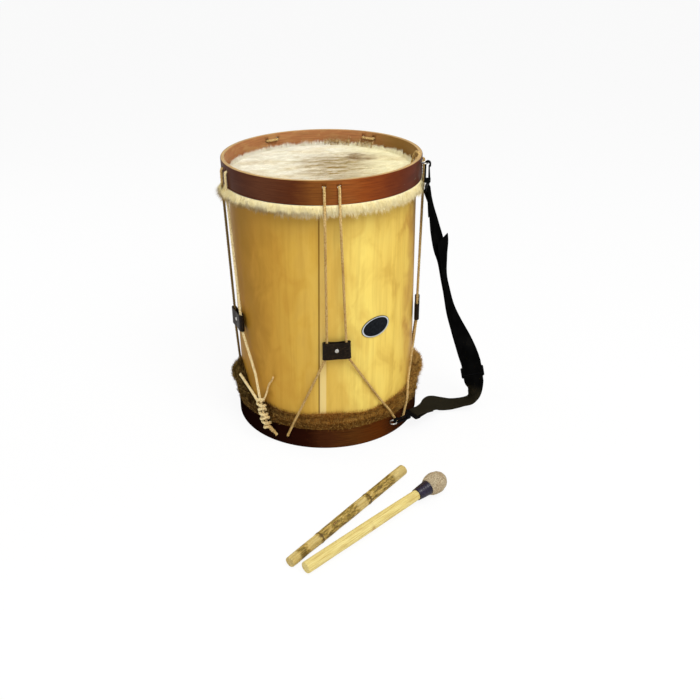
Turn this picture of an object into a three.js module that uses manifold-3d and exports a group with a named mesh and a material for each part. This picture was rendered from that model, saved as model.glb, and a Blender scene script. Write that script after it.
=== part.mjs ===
// Bombo legüero: a rope-tensioned bass drum with its shoulder strap and two beaters.
// Millimetres, +Z up. The drum stands on its lower hoop; azimuths are measured from +X about the drum's axis.

import * as THREE from 'three'
import { mergeVertices } from 'three/addons/utils/BufferGeometryUtils.js'
import Module from 'manifold-3d'

// Driving dimensions of the drum
const DRUM_HEIGHT = 500
const HOOP_OUTER_RADIUS = 175
const HOOP_WALL = 7.5
const HOOP_WIDTH = 40
const HOOP_EDGE_ROUND = 1.6
const SHELL_WALL = 6
const SKIRT_CLEARANCE = 0.5
const RIM_TO_HIDE = 28
const HIDE_THICKNESS = 1.2
const FLESH_HOOP_WALL = 5.9
const FLESH_HOOP_HEIGHT = 10.2
const REINFORCING_RING_WALL = 5
const REINFORCING_RING_HEIGHT = 28
const SEAM_WIDTH = 1.4
const SEAM_DEPTH = 0.9

// Rope, its holes and the tuners
const ROPE_RADIUS = 2.5
const ROPE_CLEARANCE = 0.5
const ROPE_CORNER_RADIUS = 3
const HOLE_RADIUS = 3.5
const UPPER_HOLE_FROM_RIM = 11
const LOWER_HOLE_FROM_RIM = 20
const TUNER_HEIGHT = 32
const TUNER_HALF_WIDTH = 25
const TUNER_STAND_OFF = 7.5
const LEATHER_THICKNESS = 1.8
const CHANNEL_INNER = 13
const CHANNEL_OUTER = 23
const STRAND_SPACING = 36
const RIVET_RADIUS = 1.7
const RIVET_HEAD_RADIUS = 3.6
const RIVET_HEAD_HEIGHT = 1.2
const RIVET_BURR_RADIUS = 3
const RIVET_BURR_THICKNESS = 0.6
const TUNER_NIP_SHARE = 0.72

// Knot: the rope's end wound in open turns round the front left leg
const KNOT_BIGHT = 0
const KNOT_BOTTOM = 33
const KNOT_TOP = 82
const KNOT_TURNS = 6.3
const KNOT_STEPS_PER_TURN = 10
const KNOT_SIDES = 6
const KNOT_SLACK = 0.75
const KNOT_START_ANGLE = 60
const KNOT_STAND_OFF = 9
const KNOT_LEG_SHARE = 1.5
const LEG_HEIGHT_SHARES = [0.62, 0.4]

// Hair margins of the hides
const FRINGE_HEIGHT = 18.5
const FRINGE_THICKNESS = 1.4
const COLLAR_LOW_HEIGHT = 26
const COLLAR_FLAP_HEIGHT = 84
const COLLAR_THICKNESS = 3
const COLLAR_FLARE = 26
const COLLAR_FLARE_POWER = 1.3
const COLLAR_WAVES = 7
const COLLAR_SEGMENTS = 60

// Badge
const BADGE_WIDTH = 58
const BADGE_TALL = 37
const BADGE_THICKNESS = 0.8
const BADGE_RIM = 0.35
const BADGE_SIDES = 28
const BADGE_FRONT_SHARES = [[0, 0], [0.84, 0], [0.88, 1], [0.97, 1], [1, 0]]
const BADGE_BACK_SHARES = [1, 0.5, 0]

// Strap, eyes, hooks and slider
const WEB_WIDTH = 38
const WEB_THICKNESS = 1.5
const WEB_PINCHED_WIDTH = 26
const WEB_LAYER_PITCH = 2
const FLAP_TIP_WIDTH = 6
const EYE_WIRE_RADIUS = 1.2
const EYE_RING_RADIUS = 5
const LOWER_EYE_RING_RADIUS = 6.5
const UPPER_EYE_FROM_RIM = 9
const LOWER_EYE_HEIGHT = 29
const HOOK_THICKNESS = 5
const HOOK_STOCK = 2.6
const HOOK_INNER_HALF = 2.7
const HOOK_REACH = 26
const HOOK_SEAT_GAP = 0.8
const HOOK_BASE_LENGTH = 8
const HOOK_NOSE_LENGTH = 5
const HOOK_CHAMFER = 1
const GATE_THICKNESS = 2.4
const GATE_EYE_RADIUS = 1.9
const GATE_PIN_RADIUS = 0.8
const GATE_TIP_RADIUS = 1
const LOOP_INNER_WIDTH = 28
const LOOP_STOCK = 3
const LOOP_SLOT = 7
const LOOP_POST_RADIUS = 1.2
const LOOP_POST_LENGTH = 5
const LOOP_HEAD_RADIUS = 1.7
const LOOP_HEAD_HEIGHT = 1.6
const SLIDER_BAR = 3
const SLIDER_SLOT = 7
const SLIDER_THICKNESS = 2
const SLIDER_SIDE = 2.4

// Beaters
const STICK_LENGTH = 292
const STICK_RADIUS = 9.9
const MALLET_LENGTH = 307
const MALLET_HANDLE_RADIUS = 9.5
const MALLET_HEAD_RADIUS = 19
const MALLET_WIDEST_SHARE = 0.92

// Gap kept between pieces that touch, the overrun of every cut, and how near two corners are one
const FIT_GAP = 0.3
const OVERRUN = 5
const MERGE_TOLERANCE = 1e-4

// Facets, and stations of the swept pieces
const RING_SEGMENTS = 48
const HOLE_SIDES = 8
const SMALL_ROUND_SIDES = 10
const BEATER_SIDES = 16
const ROPE_SIDES = 8
const TUNER_FACE_STEPS = 12
const RUN_STEPS = 32
const FOLD_STEPS = 6
const STRAP_FOLD_STATIONS = 4
const TAIL_STATIONS = 10
const FLAP_STATIONS = 7

// Where things stand round the drum, in degrees, and how high as shares of the drum's height
const TENSIONERS = [
  { name: 'left', azimuth: -159.5, tunerAzimuth: -158 },
  { name: 'front', azimuth: -86, tunerAzimuth: -85 },
  { name: 'right', azimuth: -8, tunerAzimuth: -8 },
  { name: 'back_right', azimuth: 57, tunerAzimuth: 57 },
  { name: 'back_left', azimuth: 123, tunerAzimuth: 123 }
]
const TUNER_HEIGHT_SHARES = [0.432, 0.402, 0.42, 0.41, 0.416]
const UPPER_HOLE_HALF_ANGLE = 3.9
const LOWER_PAIRS = [
  { name: 'front_left', azimuth: -121, halfAngle: 5 },
  { name: 'front_right', azimuth: -41.5, halfAngle: 2.9 },
  { name: 'back_right', azimuth: 24.5, halfAngle: 3.9 },
  { name: 'back', azimuth: 90, halfAngle: 3.9 },
  { name: 'back_left', azimuth: 161, halfAngle: 3.9 }
]
const FLAPS = [
  { azimuth: -8, halfAngle: 23, share: 0.62 },
  { azimuth: -167, halfAngle: 23, share: 0.66 },
  { azimuth: 124, halfAngle: 16, share: 0.35 },
  { azimuth: 57, halfAngle: 14, share: 0.25 }
]
const COLLAR_RISE_SHARES = [0.05, 0.5, 1]
const SEAM_TOP_AZIMUTH = -92.9
const SEAM_BOTTOM_AZIMUTH = -96.8
const BADGE_AZIMUTH = -59.2
const BADGE_HEIGHT_SHARE = 0.459
const BADGE_TILT = 8
const UPPER_EYE_AZIMUTH = -16.5
const LOWER_EYE_AZIMUTH = -49.8
const LOWER_HOOK_HEADING = 33

// Tails of the knot, chosen by hand: azimuth, distance from the hoop's face and height
const KNOT_LOW_TAIL = [[-123, 4.4, 17], [-124, 5.6, 23], [-125, 8.4, 29]]
const KNOT_HIGH_TAIL = [
  [-138.2, 7.5, 86], [-141, 5.5, 88.5], [-145, 3.5, 92], [-150, 3, 97.5], [-155.7, 5, 105.7]
]

// Strap rows, chosen by hand. The first two shares are of the line in plan from the hook loop's bar to the
// slider, along it and across it. The third is of the fall to the slider's upper edge on the upper webbing, and
// of the lower eye's height on the lower one. Then come the width's direction in plan, its tilt, and the half width.
const UPPER_ROUTE_SHARES = [
  [0.06, 0, 0.05, 74, 0, 0.79], [0.1, 0.01, 0.12, 69, 0, 1], [0.17, 0.04, 0.21, 58, 0, 1],
  [0.25, 0.06, 0.3, 52, 0, 1], [0.31, 0.07, 0.38, 63, 0, 1], [0.36, 0.07, 0.48, 70, 0, 1],
  [0.42, 0.06, 0.56, 69, 0, 1], [0.51, 0.05, 0.67, 62, 0, 1], [0.64, 0.03, 0.77, 48, 0, 1],
  [0.79, 0.02, 0.87, 26, 0, 1], [0.9, 0, 0.95, 6, 0, 1]
]
const LOWER_ROUTE_SHARES = [
  [1.03, -0.03, 1.43, -50, 16, 1], [1.01, -0.02, 0.98, -63, 22, 1], [0.97, 0.01, 0.61, -74, 16, 1],
  [0.89, 0.08, 0.36, -84, 6, 1], [0.77, 0.16, 0.22, -90, -3, 1], [0.64, 0.21, 0.31, -90, -11, 1],
  [0.52, 0.22, 0.5, -82, -15, 1], [0.4, 0.17, 0.71, -72, -10, 0.95], [0.28, 0.09, 0.88, -64, -4, 0.82],
  [0.14, 0.03, 1.02, -58, 0, 0.71]
]
const LOWER_ROUTE_START_TURN = -16
const LOWER_ROUTE_START_TILT = 4
const SLIDER_AZIMUTH = -10.1
const SLIDER_FROM_HOOP = 109
const SLIDER_HEIGHT = 80
const SLIDER_LEAN = 11
const SLIDER_WIDTH_ANGLE = -4

// Beaters: the lower left end in plan and the heading in degrees, then profiles as shares of length and radius
const STICK_END = [-69, -483]
const STICK_HEADING = 48.8
const STICK_SHARES = [
  [0, 0], [0, 0.8], [0.004, 0.84], [0.215, 0.87], [0.235, 0.94], [0.25, 0.88], [0.45, 0.93], [0.63, 0.94],
  [0.65, 1], [0.665, 0.94], [0.995, 0.95], [1, 0.91], [1, 0]
]
const STICK_NODES = [4, 8]
const MALLET_END = [-45.6, -497]
const MALLET_HEADING = 39.9
const HANDLE_SHARES = [
  [0, 0], [0, 0.93], [0.005, 1], [0.4, 0.99], [0.7, 0.93], [0.8, 0.87], [0.925, 0.85], [0.925, 0]
]
const TAPE_SHARES = [
  [0.778, 0.46], [0.79, 0.47], [0.8, 0.5], [0.84, 0.545], [0.865, 0.585], [0.865, 0.655],
  [0.84, 0.61], [0.8, 0.56], [0.79, 0.53], [0.778, 0.515]
]
const HEAD_SHARES = [
  [0.797, 0.452], [0.802, 0.482], [0.84, 0.527], [0.866, 0.567], [0.867, 0.76], [0.88, 0.92], [0.92, 1],
  [0.945, 0.95], [0.963, 0.82], [0.978, 0.6], [0.991, 0.3], [1, 0], [0.93, 0], [0.93, 0.452]
]

const wasm = await Module()
wasm.setup()

const degrees = THREE.MathUtils.degToRad

// Geometry helpers: a closed body facing outwards, lathes and sweeps about +Z, and boolean cuts
function closedBody(geometry) {
  const bare = new THREE.BufferGeometry()
  bare.setAttribute('position', geometry.getAttribute('position').clone())
  if (geometry.index) {
    bare.setIndex(geometry.index.clone())
  }
  const merged = mergeVertices(bare, MERGE_TOLERANCE)
  const index = Array.from(merged.index.array)
  const kept = []
  let volume = 0
  const corner = [new THREE.Vector3(), new THREE.Vector3(), new THREE.Vector3()]
  for (let i = 0; i < index.length; i += 3) {
    const [a, b, c] = index.slice(i, i + 3)
    if (a === b || b === c || a === c) {
      continue
    }
    kept.push(a, b, c)
    corner[0].fromBufferAttribute(merged.attributes.position, a)
    corner[1].fromBufferAttribute(merged.attributes.position, b)
    corner[2].fromBufferAttribute(merged.attributes.position, c)
    volume += corner[0].dot(corner[1].clone().cross(corner[2]))
  }
  if (volume < 0) {
    for (let i = 0; i < kept.length; i += 3) {
      const swap = kept[i]
      kept[i] = kept[i + 1]
      kept[i + 1] = swap
    }
  }
  merged.setIndex(kept)
  return merged
}

function solid(geometry) {
  const body = closedBody(geometry)
  return new wasm.Manifold(new wasm.Mesh({
    numProp: 3,
    vertProperties: Float32Array.from(body.attributes.position.array),
    triVerts: Uint32Array.from(body.index.array)
  }))
}

function geometryOf(manifold) {
  const mesh = manifold.getMesh()
  const geometry = new THREE.BufferGeometry()
  geometry.setAttribute('position', new THREE.BufferAttribute(new Float32Array(mesh.vertProperties), 3))
  geometry.setIndex(Array.from(mesh.triVerts))
  return geometry
}

function cutFrom(geometry, tools) {
  let body = solid(geometry)
  for (const tool of tools) {
    body = body.subtract(solid(tool))
  }
  return geometryOf(body)
}

function lathe(profile, segments = RING_SEGMENTS) {
  const points = profile.map(([r, z]) => new THREE.Vector2(r, z))
  const onAxis = profile[0][0] === 0 && profile[profile.length - 1][0] === 0
  if (!onAxis) {
    points.push(points[0].clone())
  }
  return closedBody(new THREE.LatheGeometry(points, segments).rotateX(degrees(90)))
}

function ringProfile(inner, outer, low, high) {
  return [[inner, low], [outer, low], [outer, high], [inner, high]]
}

function circle(radius, sides) {
  return Array.from({ length: sides }, (_, i) => {
    const turn = 2 * Math.PI * i / sides
    return new THREE.Vector2(radius * Math.cos(turn), radius * Math.sin(turn))
  })
}

// A path whose extrusion has one section at each of its points
class StationPath extends THREE.CatmullRomCurve3 {
  constructor(points) {
    super(points, false, 'centripetal')
  }
  getUtoTmapping(u) {
    return u
  }
}

function tube(points, radius, sides = ROPE_SIDES) {
  const path = new StationPath(points)
  return closedBody(new THREE.ExtrudeGeometry(new THREE.Shape(circle(radius, sides)), {
    steps: points.length - 1,
    extrudePath: path,
    bevelEnabled: false
  }))
}

function rodAlong(start, end, radius, sides = 20) {
  const axis = end.clone().sub(start)
  const rod = new THREE.CylinderGeometry(radius, radius, axis.length(), sides)
  const turn = new THREE.Quaternion().setFromUnitVectors(new THREE.Vector3(0, 1, 0), axis.clone().normalize())
  return rod.applyQuaternion(turn).translate(...start.clone().add(end).multiplyScalar(0.5).toArray())
}

function slab(outline, thickness, holes = []) {
  const shape = new THREE.Shape(outline)
  for (const hole of holes) {
    shape.holes.push(new THREE.Path(hole))
  }
  const body = new THREE.ExtrudeGeometry(shape, { depth: thickness, bevelEnabled: false })
  return body.translate(0, 0, -thickness / 2)
}

function roundedRectangle(left, bottom, right, top, radius, steps = 4) {
  const corners = [[right - radius, top - radius, 0], [left + radius, top - radius, 90],
    [left + radius, bottom + radius, 180], [right - radius, bottom + radius, 270]]
  return corners.flatMap(([x, y, from]) => Array.from({ length: steps + 1 }, (_, i) => {
    const turn = degrees(from + 90 * i / steps)
    return new THREE.Vector2(x + radius * Math.cos(turn), y + radius * Math.sin(turn))
  }))
}

function basis(xAxis, yAxis, zAxis, origin) {
  return new THREE.Matrix4().makeBasis(xAxis, yAxis, zAxis).setPosition(origin)
}

function around(azimuth, radius, z) {
  const turn = degrees(azimuth)
  return new THREE.Vector3(radius * Math.cos(turn), radius * Math.sin(turn), z)
}

function outward(azimuth) {
  return around(azimuth, 1, 0)
}

function sideways(azimuth) {
  return outward(azimuth + 90)
}

// A polyline with its corners rounded, as a list of stations
function roundedRoute(corners, radius, stepDegrees = 45) {
  const stations = [corners[0]]
  for (let i = 1; i < corners.length - 1; i++) {
    const corner = corners[i]
    const back = corners[i - 1].clone().sub(corner)
    const ahead = corners[i + 1].clone().sub(corner)
    const inDirection = back.clone().normalize()
    const outDirection = ahead.clone().normalize()
    const turn = Math.PI - inDirection.angleTo(outDirection)
    const steps = Math.max(1, Math.round(turn / degrees(stepDegrees)))
    const reach = Math.min(radius * Math.tan(turn / 2), back.length() / 2.2, ahead.length() / 2.2)
    if (turn < degrees(stepDegrees) / 2) {
      stations.push(corner)
      continue
    }
    const start = corner.clone().addScaledVector(inDirection, reach)
    const end = corner.clone().addScaledVector(outDirection, reach)
    const bisector = inDirection.clone().add(outDirection).normalize()
    const arcRadius = reach / Math.tan(turn / 2)
    const centre = corner.clone().addScaledVector(bisector, arcRadius / Math.cos(turn / 2))
    const startSpoke = start.clone().sub(centre)
    const axis = startSpoke.clone().cross(end.clone().sub(centre)).normalize()
    for (let k = 0; k <= steps; k++) {
      stations.push(centre.clone().add(startSpoke.clone().applyAxisAngle(axis, turn * k / steps)))
    }
  }
  stations.push(corners[corners.length - 1])
  return stations
}

// Heights and radii that follow from the driving dimensions
const HOOP_INNER_RADIUS = HOOP_OUTER_RADIUS - HOOP_WALL
const SHELL_OUTER_RADIUS = HOOP_INNER_RADIUS - SKIRT_CLEARANCE - HIDE_THICKNESS - FIT_GAP
const SHELL_INNER_RADIUS = SHELL_OUTER_RADIUS - SHELL_WALL
const TUNER_RADIUS = SHELL_OUTER_RADIUS + TUNER_STAND_OFF
const TOP_HIDE_FACE = DRUM_HEIGHT - RIM_TO_HIDE
const BOTTOM_HIDE_FACE = RIM_TO_HIDE
const SHELL_TOP = TOP_HIDE_FACE - HIDE_THICKNESS - FIT_GAP
const SHELL_BOTTOM = BOTTOM_HIDE_FACE + HIDE_THICKNESS + FIT_GAP
const SKIRT_INNER = SHELL_OUTER_RADIUS + FIT_GAP
const SKIRT_OUTER = SKIRT_INNER + HIDE_THICKNESS
const WRAP_OUTER = SKIRT_INNER + FIT_GAP + FLESH_HOOP_WALL + FIT_GAP + HIDE_THICKNESS
const WRAP_HEIGHT = HIDE_THICKNESS + FIT_GAP + FLESH_HOOP_HEIGHT + FIT_GAP + HIDE_THICKNESS
const TOP_HOOP_LOW = DRUM_HEIGHT - HOOP_WIDTH
const ROPE_OUTSIDE_RADIUS = HOOP_OUTER_RADIUS + ROPE_CLEARANCE + ROPE_RADIUS
const ROPE_INSIDE_RADIUS = HOOP_INNER_RADIUS - ROPE_CLEARANCE - ROPE_RADIUS
const ROPE_OVER_SHELL_RADIUS = SHELL_OUTER_RADIUS + ROPE_RADIUS + ROPE_CLEARANCE
const UPPER_HOLE_Z = DRUM_HEIGHT - UPPER_HOLE_FROM_RIM
const LOWER_HOLE_Z = LOWER_HOLE_FROM_RIM
const UPPER_EYE_Z = DRUM_HEIGHT - UPPER_EYE_FROM_RIM

const group = new THREE.Group()

const MATERIALS = {
  shell: { color: 0xd3a546, roughness: 0.42, metalness: 0 },
  hoop: { color: 0x5e2616, roughness: 0.5, metalness: 0 },
  innerWood: { color: 0xb98f52, roughness: 0.7, metalness: 0 },
  hide: { color: 0xe2d3ab, roughness: 0.8, metalness: 0 },
  paleHair: { color: 0xe9dcae, roughness: 0.95, metalness: 0 },
  brownHair: { color: 0x8a5a28, roughness: 0.95, metalness: 0 },
  rope: { color: 0xd6bc86, roughness: 0.9, metalness: 0 },
  leather: { color: 0x1c1413, roughness: 0.55, metalness: 0 },
  steel: { color: 0xc9c9c6, roughness: 0.25, metalness: 1 },
  badge: { color: 0x0d0f12, roughness: 0.3, metalness: 0 },
  webbing: { color: 0x0c0c0c, roughness: 0.8, metalness: 0 },
  plastic: { color: 0x141414, roughness: 0.4, metalness: 0 },
  bark: { color: 0xb29a52, roughness: 0.75, metalness: 0 },
  handle: { color: 0xdcc070, roughness: 0.6, metalness: 0 },
  tape: { color: 0x17121f, roughness: 0.45, metalness: 0 },
  felt: { color: 0xae9163, roughness: 0.95, metalness: 0 }
}

function addPiece(name, geometry, material) {
  const mesh = new THREE.Mesh(closedBody(geometry), new THREE.MeshStandardMaterial(MATERIALS[material]))
  mesh.name = name
  group.add(mesh)
  return mesh
}

// Shell: one board bent round and glued along a slanted seam, with a reinforcing ring inside each end
function seamGroove() {
  const top = around(SEAM_TOP_AZIMUTH, SHELL_OUTER_RADIUS, SHELL_TOP + OVERRUN)
  const bottom = around(SEAM_BOTTOM_AZIMUTH, SHELL_OUTER_RADIUS, SHELL_BOTTOM - OVERRUN)
  const run = top.clone().sub(bottom)
  const away = outward((SEAM_TOP_AZIMUTH + SEAM_BOTTOM_AZIMUTH) / 2)
  const along = run.clone().normalize()
  const across = along.clone().cross(away).normalize()
  const cutter = new THREE.BoxGeometry(SEAM_WIDTH, run.length(), SEAM_DEPTH * 2)
  const middle = top.clone().add(bottom).multiplyScalar(0.5)
  return cutter.applyMatrix4(basis(across, along, across.clone().cross(along).normalize(), middle))
}

function buildShell() {
  const wall = lathe(ringProfile(SHELL_INNER_RADIUS, SHELL_OUTER_RADIUS, SHELL_BOTTOM, SHELL_TOP))
  addPiece('shell', cutFrom(wall, [seamGroove()]), 'shell')
  const ringOuter = SHELL_INNER_RADIUS - FIT_GAP
  const ringInner = ringOuter - REINFORCING_RING_WALL
  const high = SHELL_TOP - FIT_GAP
  const low = SHELL_BOTTOM + FIT_GAP
  addPiece('top_reinforcing_ring',
    lathe(ringProfile(ringInner, ringOuter, high - REINFORCING_RING_HEIGHT, high)), 'innerWood')
  addPiece('bottom_reinforcing_ring',
    lathe(ringProfile(ringInner, ringOuter, low, low + REINFORCING_RING_HEIGHT)), 'innerWood')
}

// Hoops: bent wood with eased edges, drilled in five pairs for the rope and once for the strap's eye
function hoopBody(low) {
  const high = low + HOOP_WIDTH
  const ease = HOOP_EDGE_ROUND
  return lathe([
    [HOOP_INNER_RADIUS, low], [HOOP_OUTER_RADIUS - ease, low], [HOOP_OUTER_RADIUS, low + ease],
    [HOOP_OUTER_RADIUS, high - ease], [HOOP_OUTER_RADIUS - ease, high], [HOOP_INNER_RADIUS, high]
  ])
}

function radialHole(azimuth, z, radius) {
  const inner = around(azimuth, HOOP_INNER_RADIUS - OVERRUN, z)
  const outer = around(azimuth, HOOP_OUTER_RADIUS + OVERRUN, z)
  return rodAlong(inner, outer, radius, HOLE_SIDES)
}

function holeAzimuths(pairs, halfAngleOf) {
  return pairs.flatMap((pair) => [pair.azimuth - halfAngleOf(pair), pair.azimuth + halfAngleOf(pair)])
}

function buildHoops() {
  const eyeHole = EYE_WIRE_RADIUS + FIT_GAP
  const upperHoles = holeAzimuths(TENSIONERS, () => UPPER_HOLE_HALF_ANGLE)
    .map((azimuth) => radialHole(azimuth, UPPER_HOLE_Z, HOLE_RADIUS))
  const lowerHoles = holeAzimuths(LOWER_PAIRS, (pair) => pair.halfAngle)
    .map((azimuth) => radialHole(azimuth, LOWER_HOLE_Z, HOLE_RADIUS))
  upperHoles.push(radialHole(UPPER_EYE_AZIMUTH, UPPER_EYE_Z, eyeHole))
  lowerHoles.push(radialHole(LOWER_EYE_AZIMUTH, LOWER_EYE_HEIGHT, eyeHole))
  addPiece('top_hoop', cutFrom(hoopBody(TOP_HOOP_LOW), upperHoles), 'hoop')
  addPiece('bottom_hoop', cutFrom(hoopBody(0), lowerHoles), 'hoop')
}

// Hides: a membrane over the bearing edge, a skirt inside the hoop, and a wrap round the flesh hoop.
// The profile is drawn for the top and mirrored for the bottom.
function hideProfile(face, hoopEdge, up) {
  const under = face - up * HIDE_THICKNESS
  const wrapTop = hoopEdge - up * FIT_GAP
  const wrapTopInside = wrapTop - up * HIDE_THICKNESS
  const wrapBottom = wrapTop - up * WRAP_HEIGHT
  const wrapBottomInside = wrapBottom + up * HIDE_THICKNESS
  const wrapInner = WRAP_OUTER - HIDE_THICKNESS
  return [
    [0, under], [SKIRT_INNER, under], [SKIRT_INNER, wrapTopInside], [wrapInner, wrapTopInside],
    [wrapInner, wrapBottomInside], [SKIRT_OUTER, wrapBottomInside], [SKIRT_OUTER, wrapBottom],
    [WRAP_OUTER, wrapBottom], [WRAP_OUTER, wrapTop], [SKIRT_OUTER, wrapTop], [SKIRT_OUTER, face], [0, face]
  ]
}

function buildHides() {
  addPiece('top_hide', lathe(hideProfile(TOP_HIDE_FACE, TOP_HOOP_LOW, 1)), 'hide')
  addPiece('bottom_hide', lathe(hideProfile(BOTTOM_HIDE_FACE, HOOP_WIDTH, -1)), 'hide')
  const inner = SKIRT_INNER + FIT_GAP
  const outer = inner + FLESH_HOOP_WALL
  const inset = FIT_GAP + HIDE_THICKNESS + FIT_GAP
  const topHigh = TOP_HOOP_LOW - inset
  const bottomLow = HOOP_WIDTH + inset
  addPiece('top_flesh_hoop',
    lathe(ringProfile(inner, outer, topHigh - FLESH_HOOP_HEIGHT, topHigh)), 'innerWood')
  addPiece('bottom_flesh_hoop',
    lathe(ringProfile(inner, outer, bottomLow, bottomLow + FLESH_HOOP_HEIGHT)), 'innerWood')
}

// Rope: one bight through each pair of holes. Upper bights end in the tuners, where the lower ones start.
function tunerCentreZ(i) {
  return DRUM_HEIGHT * TUNER_HEIGHT_SHARES[i]
}

function tunerPoint(i, side, z, spread = STRAND_SPACING / 2) {
  const azimuth = TENSIONERS[i].tunerAzimuth
  return around(azimuth, TUNER_RADIUS, z).addScaledVector(sideways(azimuth), side * spread)
}

function throughHoop(azimuths, z) {
  return [
    around(azimuths[0], ROPE_OUTSIDE_RADIUS, z), around(azimuths[0], ROPE_INSIDE_RADIUS, z),
    around(azimuths[1], ROPE_INSIDE_RADIUS, z), around(azimuths[1], ROPE_OUTSIDE_RADIUS, z)
  ]
}

function upperBightRoute(i) {
  const { azimuth } = TENSIONERS[i]
  const azimuths = [azimuth - UPPER_HOLE_HALF_ANGLE, azimuth + UPPER_HOLE_HALF_ANGLE]
  const meeting = tunerCentreZ(i) + FIT_GAP / 2
  const tunerTop = tunerCentreZ(i) + TUNER_HEIGHT / 2
  const overFringe = TOP_HOOP_LOW - FRINGE_HEIGHT / 4
  const entry = (CHANNEL_INNER + CHANNEL_OUTER) / 2 - ROPE_RADIUS / 2
  const up = [
    tunerPoint(i, -1, meeting), tunerPoint(i, -1, meeting + TUNER_HEIGHT / 4),
    tunerPoint(i, -1, tunerTop, entry), around(azimuths[0], ROPE_OUTSIDE_RADIUS, overFringe)
  ]
  const down = [
    around(azimuths[1], ROPE_OUTSIDE_RADIUS, overFringe), tunerPoint(i, 1, tunerTop, entry),
    tunerPoint(i, 1, meeting + TUNER_HEIGHT / 4), tunerPoint(i, 1, meeting)
  ]
  return roundedRoute([...up, ...throughHoop(azimuths, UPPER_HOLE_Z), ...down], ROPE_CORNER_RADIUS)
}

// A leg runs straight from the tuner to the hole, lying over the shell where a straight line would enter it.
// The leg inside the knot stands off far enough for the turns to pass behind it.
const OVER_LOWER_HOOP = HOOP_WIDTH + FIT_GAP + WRAP_HEIGHT + FIT_GAP + ROPE_RADIUS

function legRadius(reach, z, knotted) {
  const lying = z <= OVER_LOWER_HOOP ? ROPE_OUTSIDE_RADIUS : Math.max(reach, ROPE_OVER_SHELL_RADIUS)
  if (!knotted || z > KNOT_TOP) {
    return lying
  }
  return HOOP_OUTER_RADIUS + (z < KNOT_TOP ? KNOT_STAND_OFF : KNOT_STAND_OFF / 2)
}

function legRoute(from, azimuth, knotted) {
  const to = around(azimuth, ROPE_OUTSIDE_RADIUS, LOWER_HOLE_Z)
  const heights = knotted
    ? [KNOT_TOP * KNOT_LEG_SHARE, KNOT_TOP, OVER_LOWER_HOOP, KNOT_BOTTOM]
    : [...LEG_HEIGHT_SHARES.map((share) => LOWER_HOLE_Z + (from.z - LOWER_HOLE_Z) * share), OVER_LOWER_HOOP]
  return heights.map((z) => {
    const point = from.clone().lerp(to, (from.z - z) / (from.z - to.z))
    const reach = Math.hypot(point.x, point.y)
    const scale = legRadius(reach, z, knotted) / reach
    return new THREE.Vector3(point.x * scale, point.y * scale, z)
  })
}

function lowerBightRoute(i) {
  const pair = LOWER_PAIRS[i]
  const next = (i + 1) % TENSIONERS.length
  const azimuths = [pair.azimuth - pair.halfAngle, pair.azimuth + pair.halfAngle]
  const start = (tuner, side) => {
    const meeting = tunerCentreZ(tuner) - FIT_GAP / 2
    const tunerLow = tunerCentreZ(tuner) - TUNER_HEIGHT / 2
    return [
      tunerPoint(tuner, side, meeting), tunerPoint(tuner, side, meeting - TUNER_HEIGHT / 4),
      tunerPoint(tuner, side, tunerLow, CHANNEL_OUTER - ROPE_RADIUS - 2 * FIT_GAP)
    ]
  }
  const first = start(i, 1)
  const last = start(next, -1)
  const down = [...first, ...legRoute(first[2], azimuths[0], i === KNOT_BIGHT)]
  const up = [...last, ...legRoute(last[2], azimuths[1], false)].reverse()
  return roundedRoute([...down, ...throughHoop(azimuths, LOWER_HOLE_Z), ...up], ROPE_CORNER_RADIUS)
}

const upperRoutes = TENSIONERS.map((_, i) => upperBightRoute(i))
const lowerRoutes = LOWER_PAIRS.map((_, i) => lowerBightRoute(i))

function ropeRelief() {
  return [...upperRoutes, ...lowerRoutes].map((route) => tube(route, ROPE_RADIUS + FIT_GAP))
}

function buildRope() {
  upperRoutes.forEach((route, i) => {
    addPiece(`rope_upper_${TENSIONERS[i].name}`, tube(route, ROPE_RADIUS), 'rope')
  })
  lowerRoutes.forEach((route, i) => {
    addPiece(`rope_lower_${LOWER_PAIRS[i].name}`, tube(route, ROPE_RADIUS), 'rope')
  })
}

// Tuners: a leather sleeve round both strands, nipped in the middle by one rivet
function tunerOutline() {
  const deep = ROPE_RADIUS + FIT_GAP + LEATHER_THICKNESS
  const lobe = (CHANNEL_INNER + CHANNEL_OUTER) / 2
  const shoulder = CHANNEL_OUTER - LEATHER_THICKNESS / 2
  const nip = deep * TUNER_NIP_SHARE
  const face = (side) => new THREE.SplineCurve([
    [TUNER_HALF_WIDTH, deep / 3], [shoulder, deep], [lobe, deep], [CHANNEL_INNER, deep], [0, nip],
    [-CHANNEL_INNER, deep], [-lobe, deep], [-shoulder, deep], [-TUNER_HALF_WIDTH, deep / 3]
  ].map(([x, y]) => new THREE.Vector2(x, side * y))).getPoints(TUNER_FACE_STEPS)
  return [...face(1), ...face(-1).reverse()]
}

function tunerMatrix(i) {
  const azimuth = TENSIONERS[i].tunerAzimuth
  const across = sideways(azimuth).negate()
  return basis(across, outward(azimuth), new THREE.Vector3(0, 0, 1),
    around(azimuth, TUNER_RADIUS, tunerCentreZ(i)))
}

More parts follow.
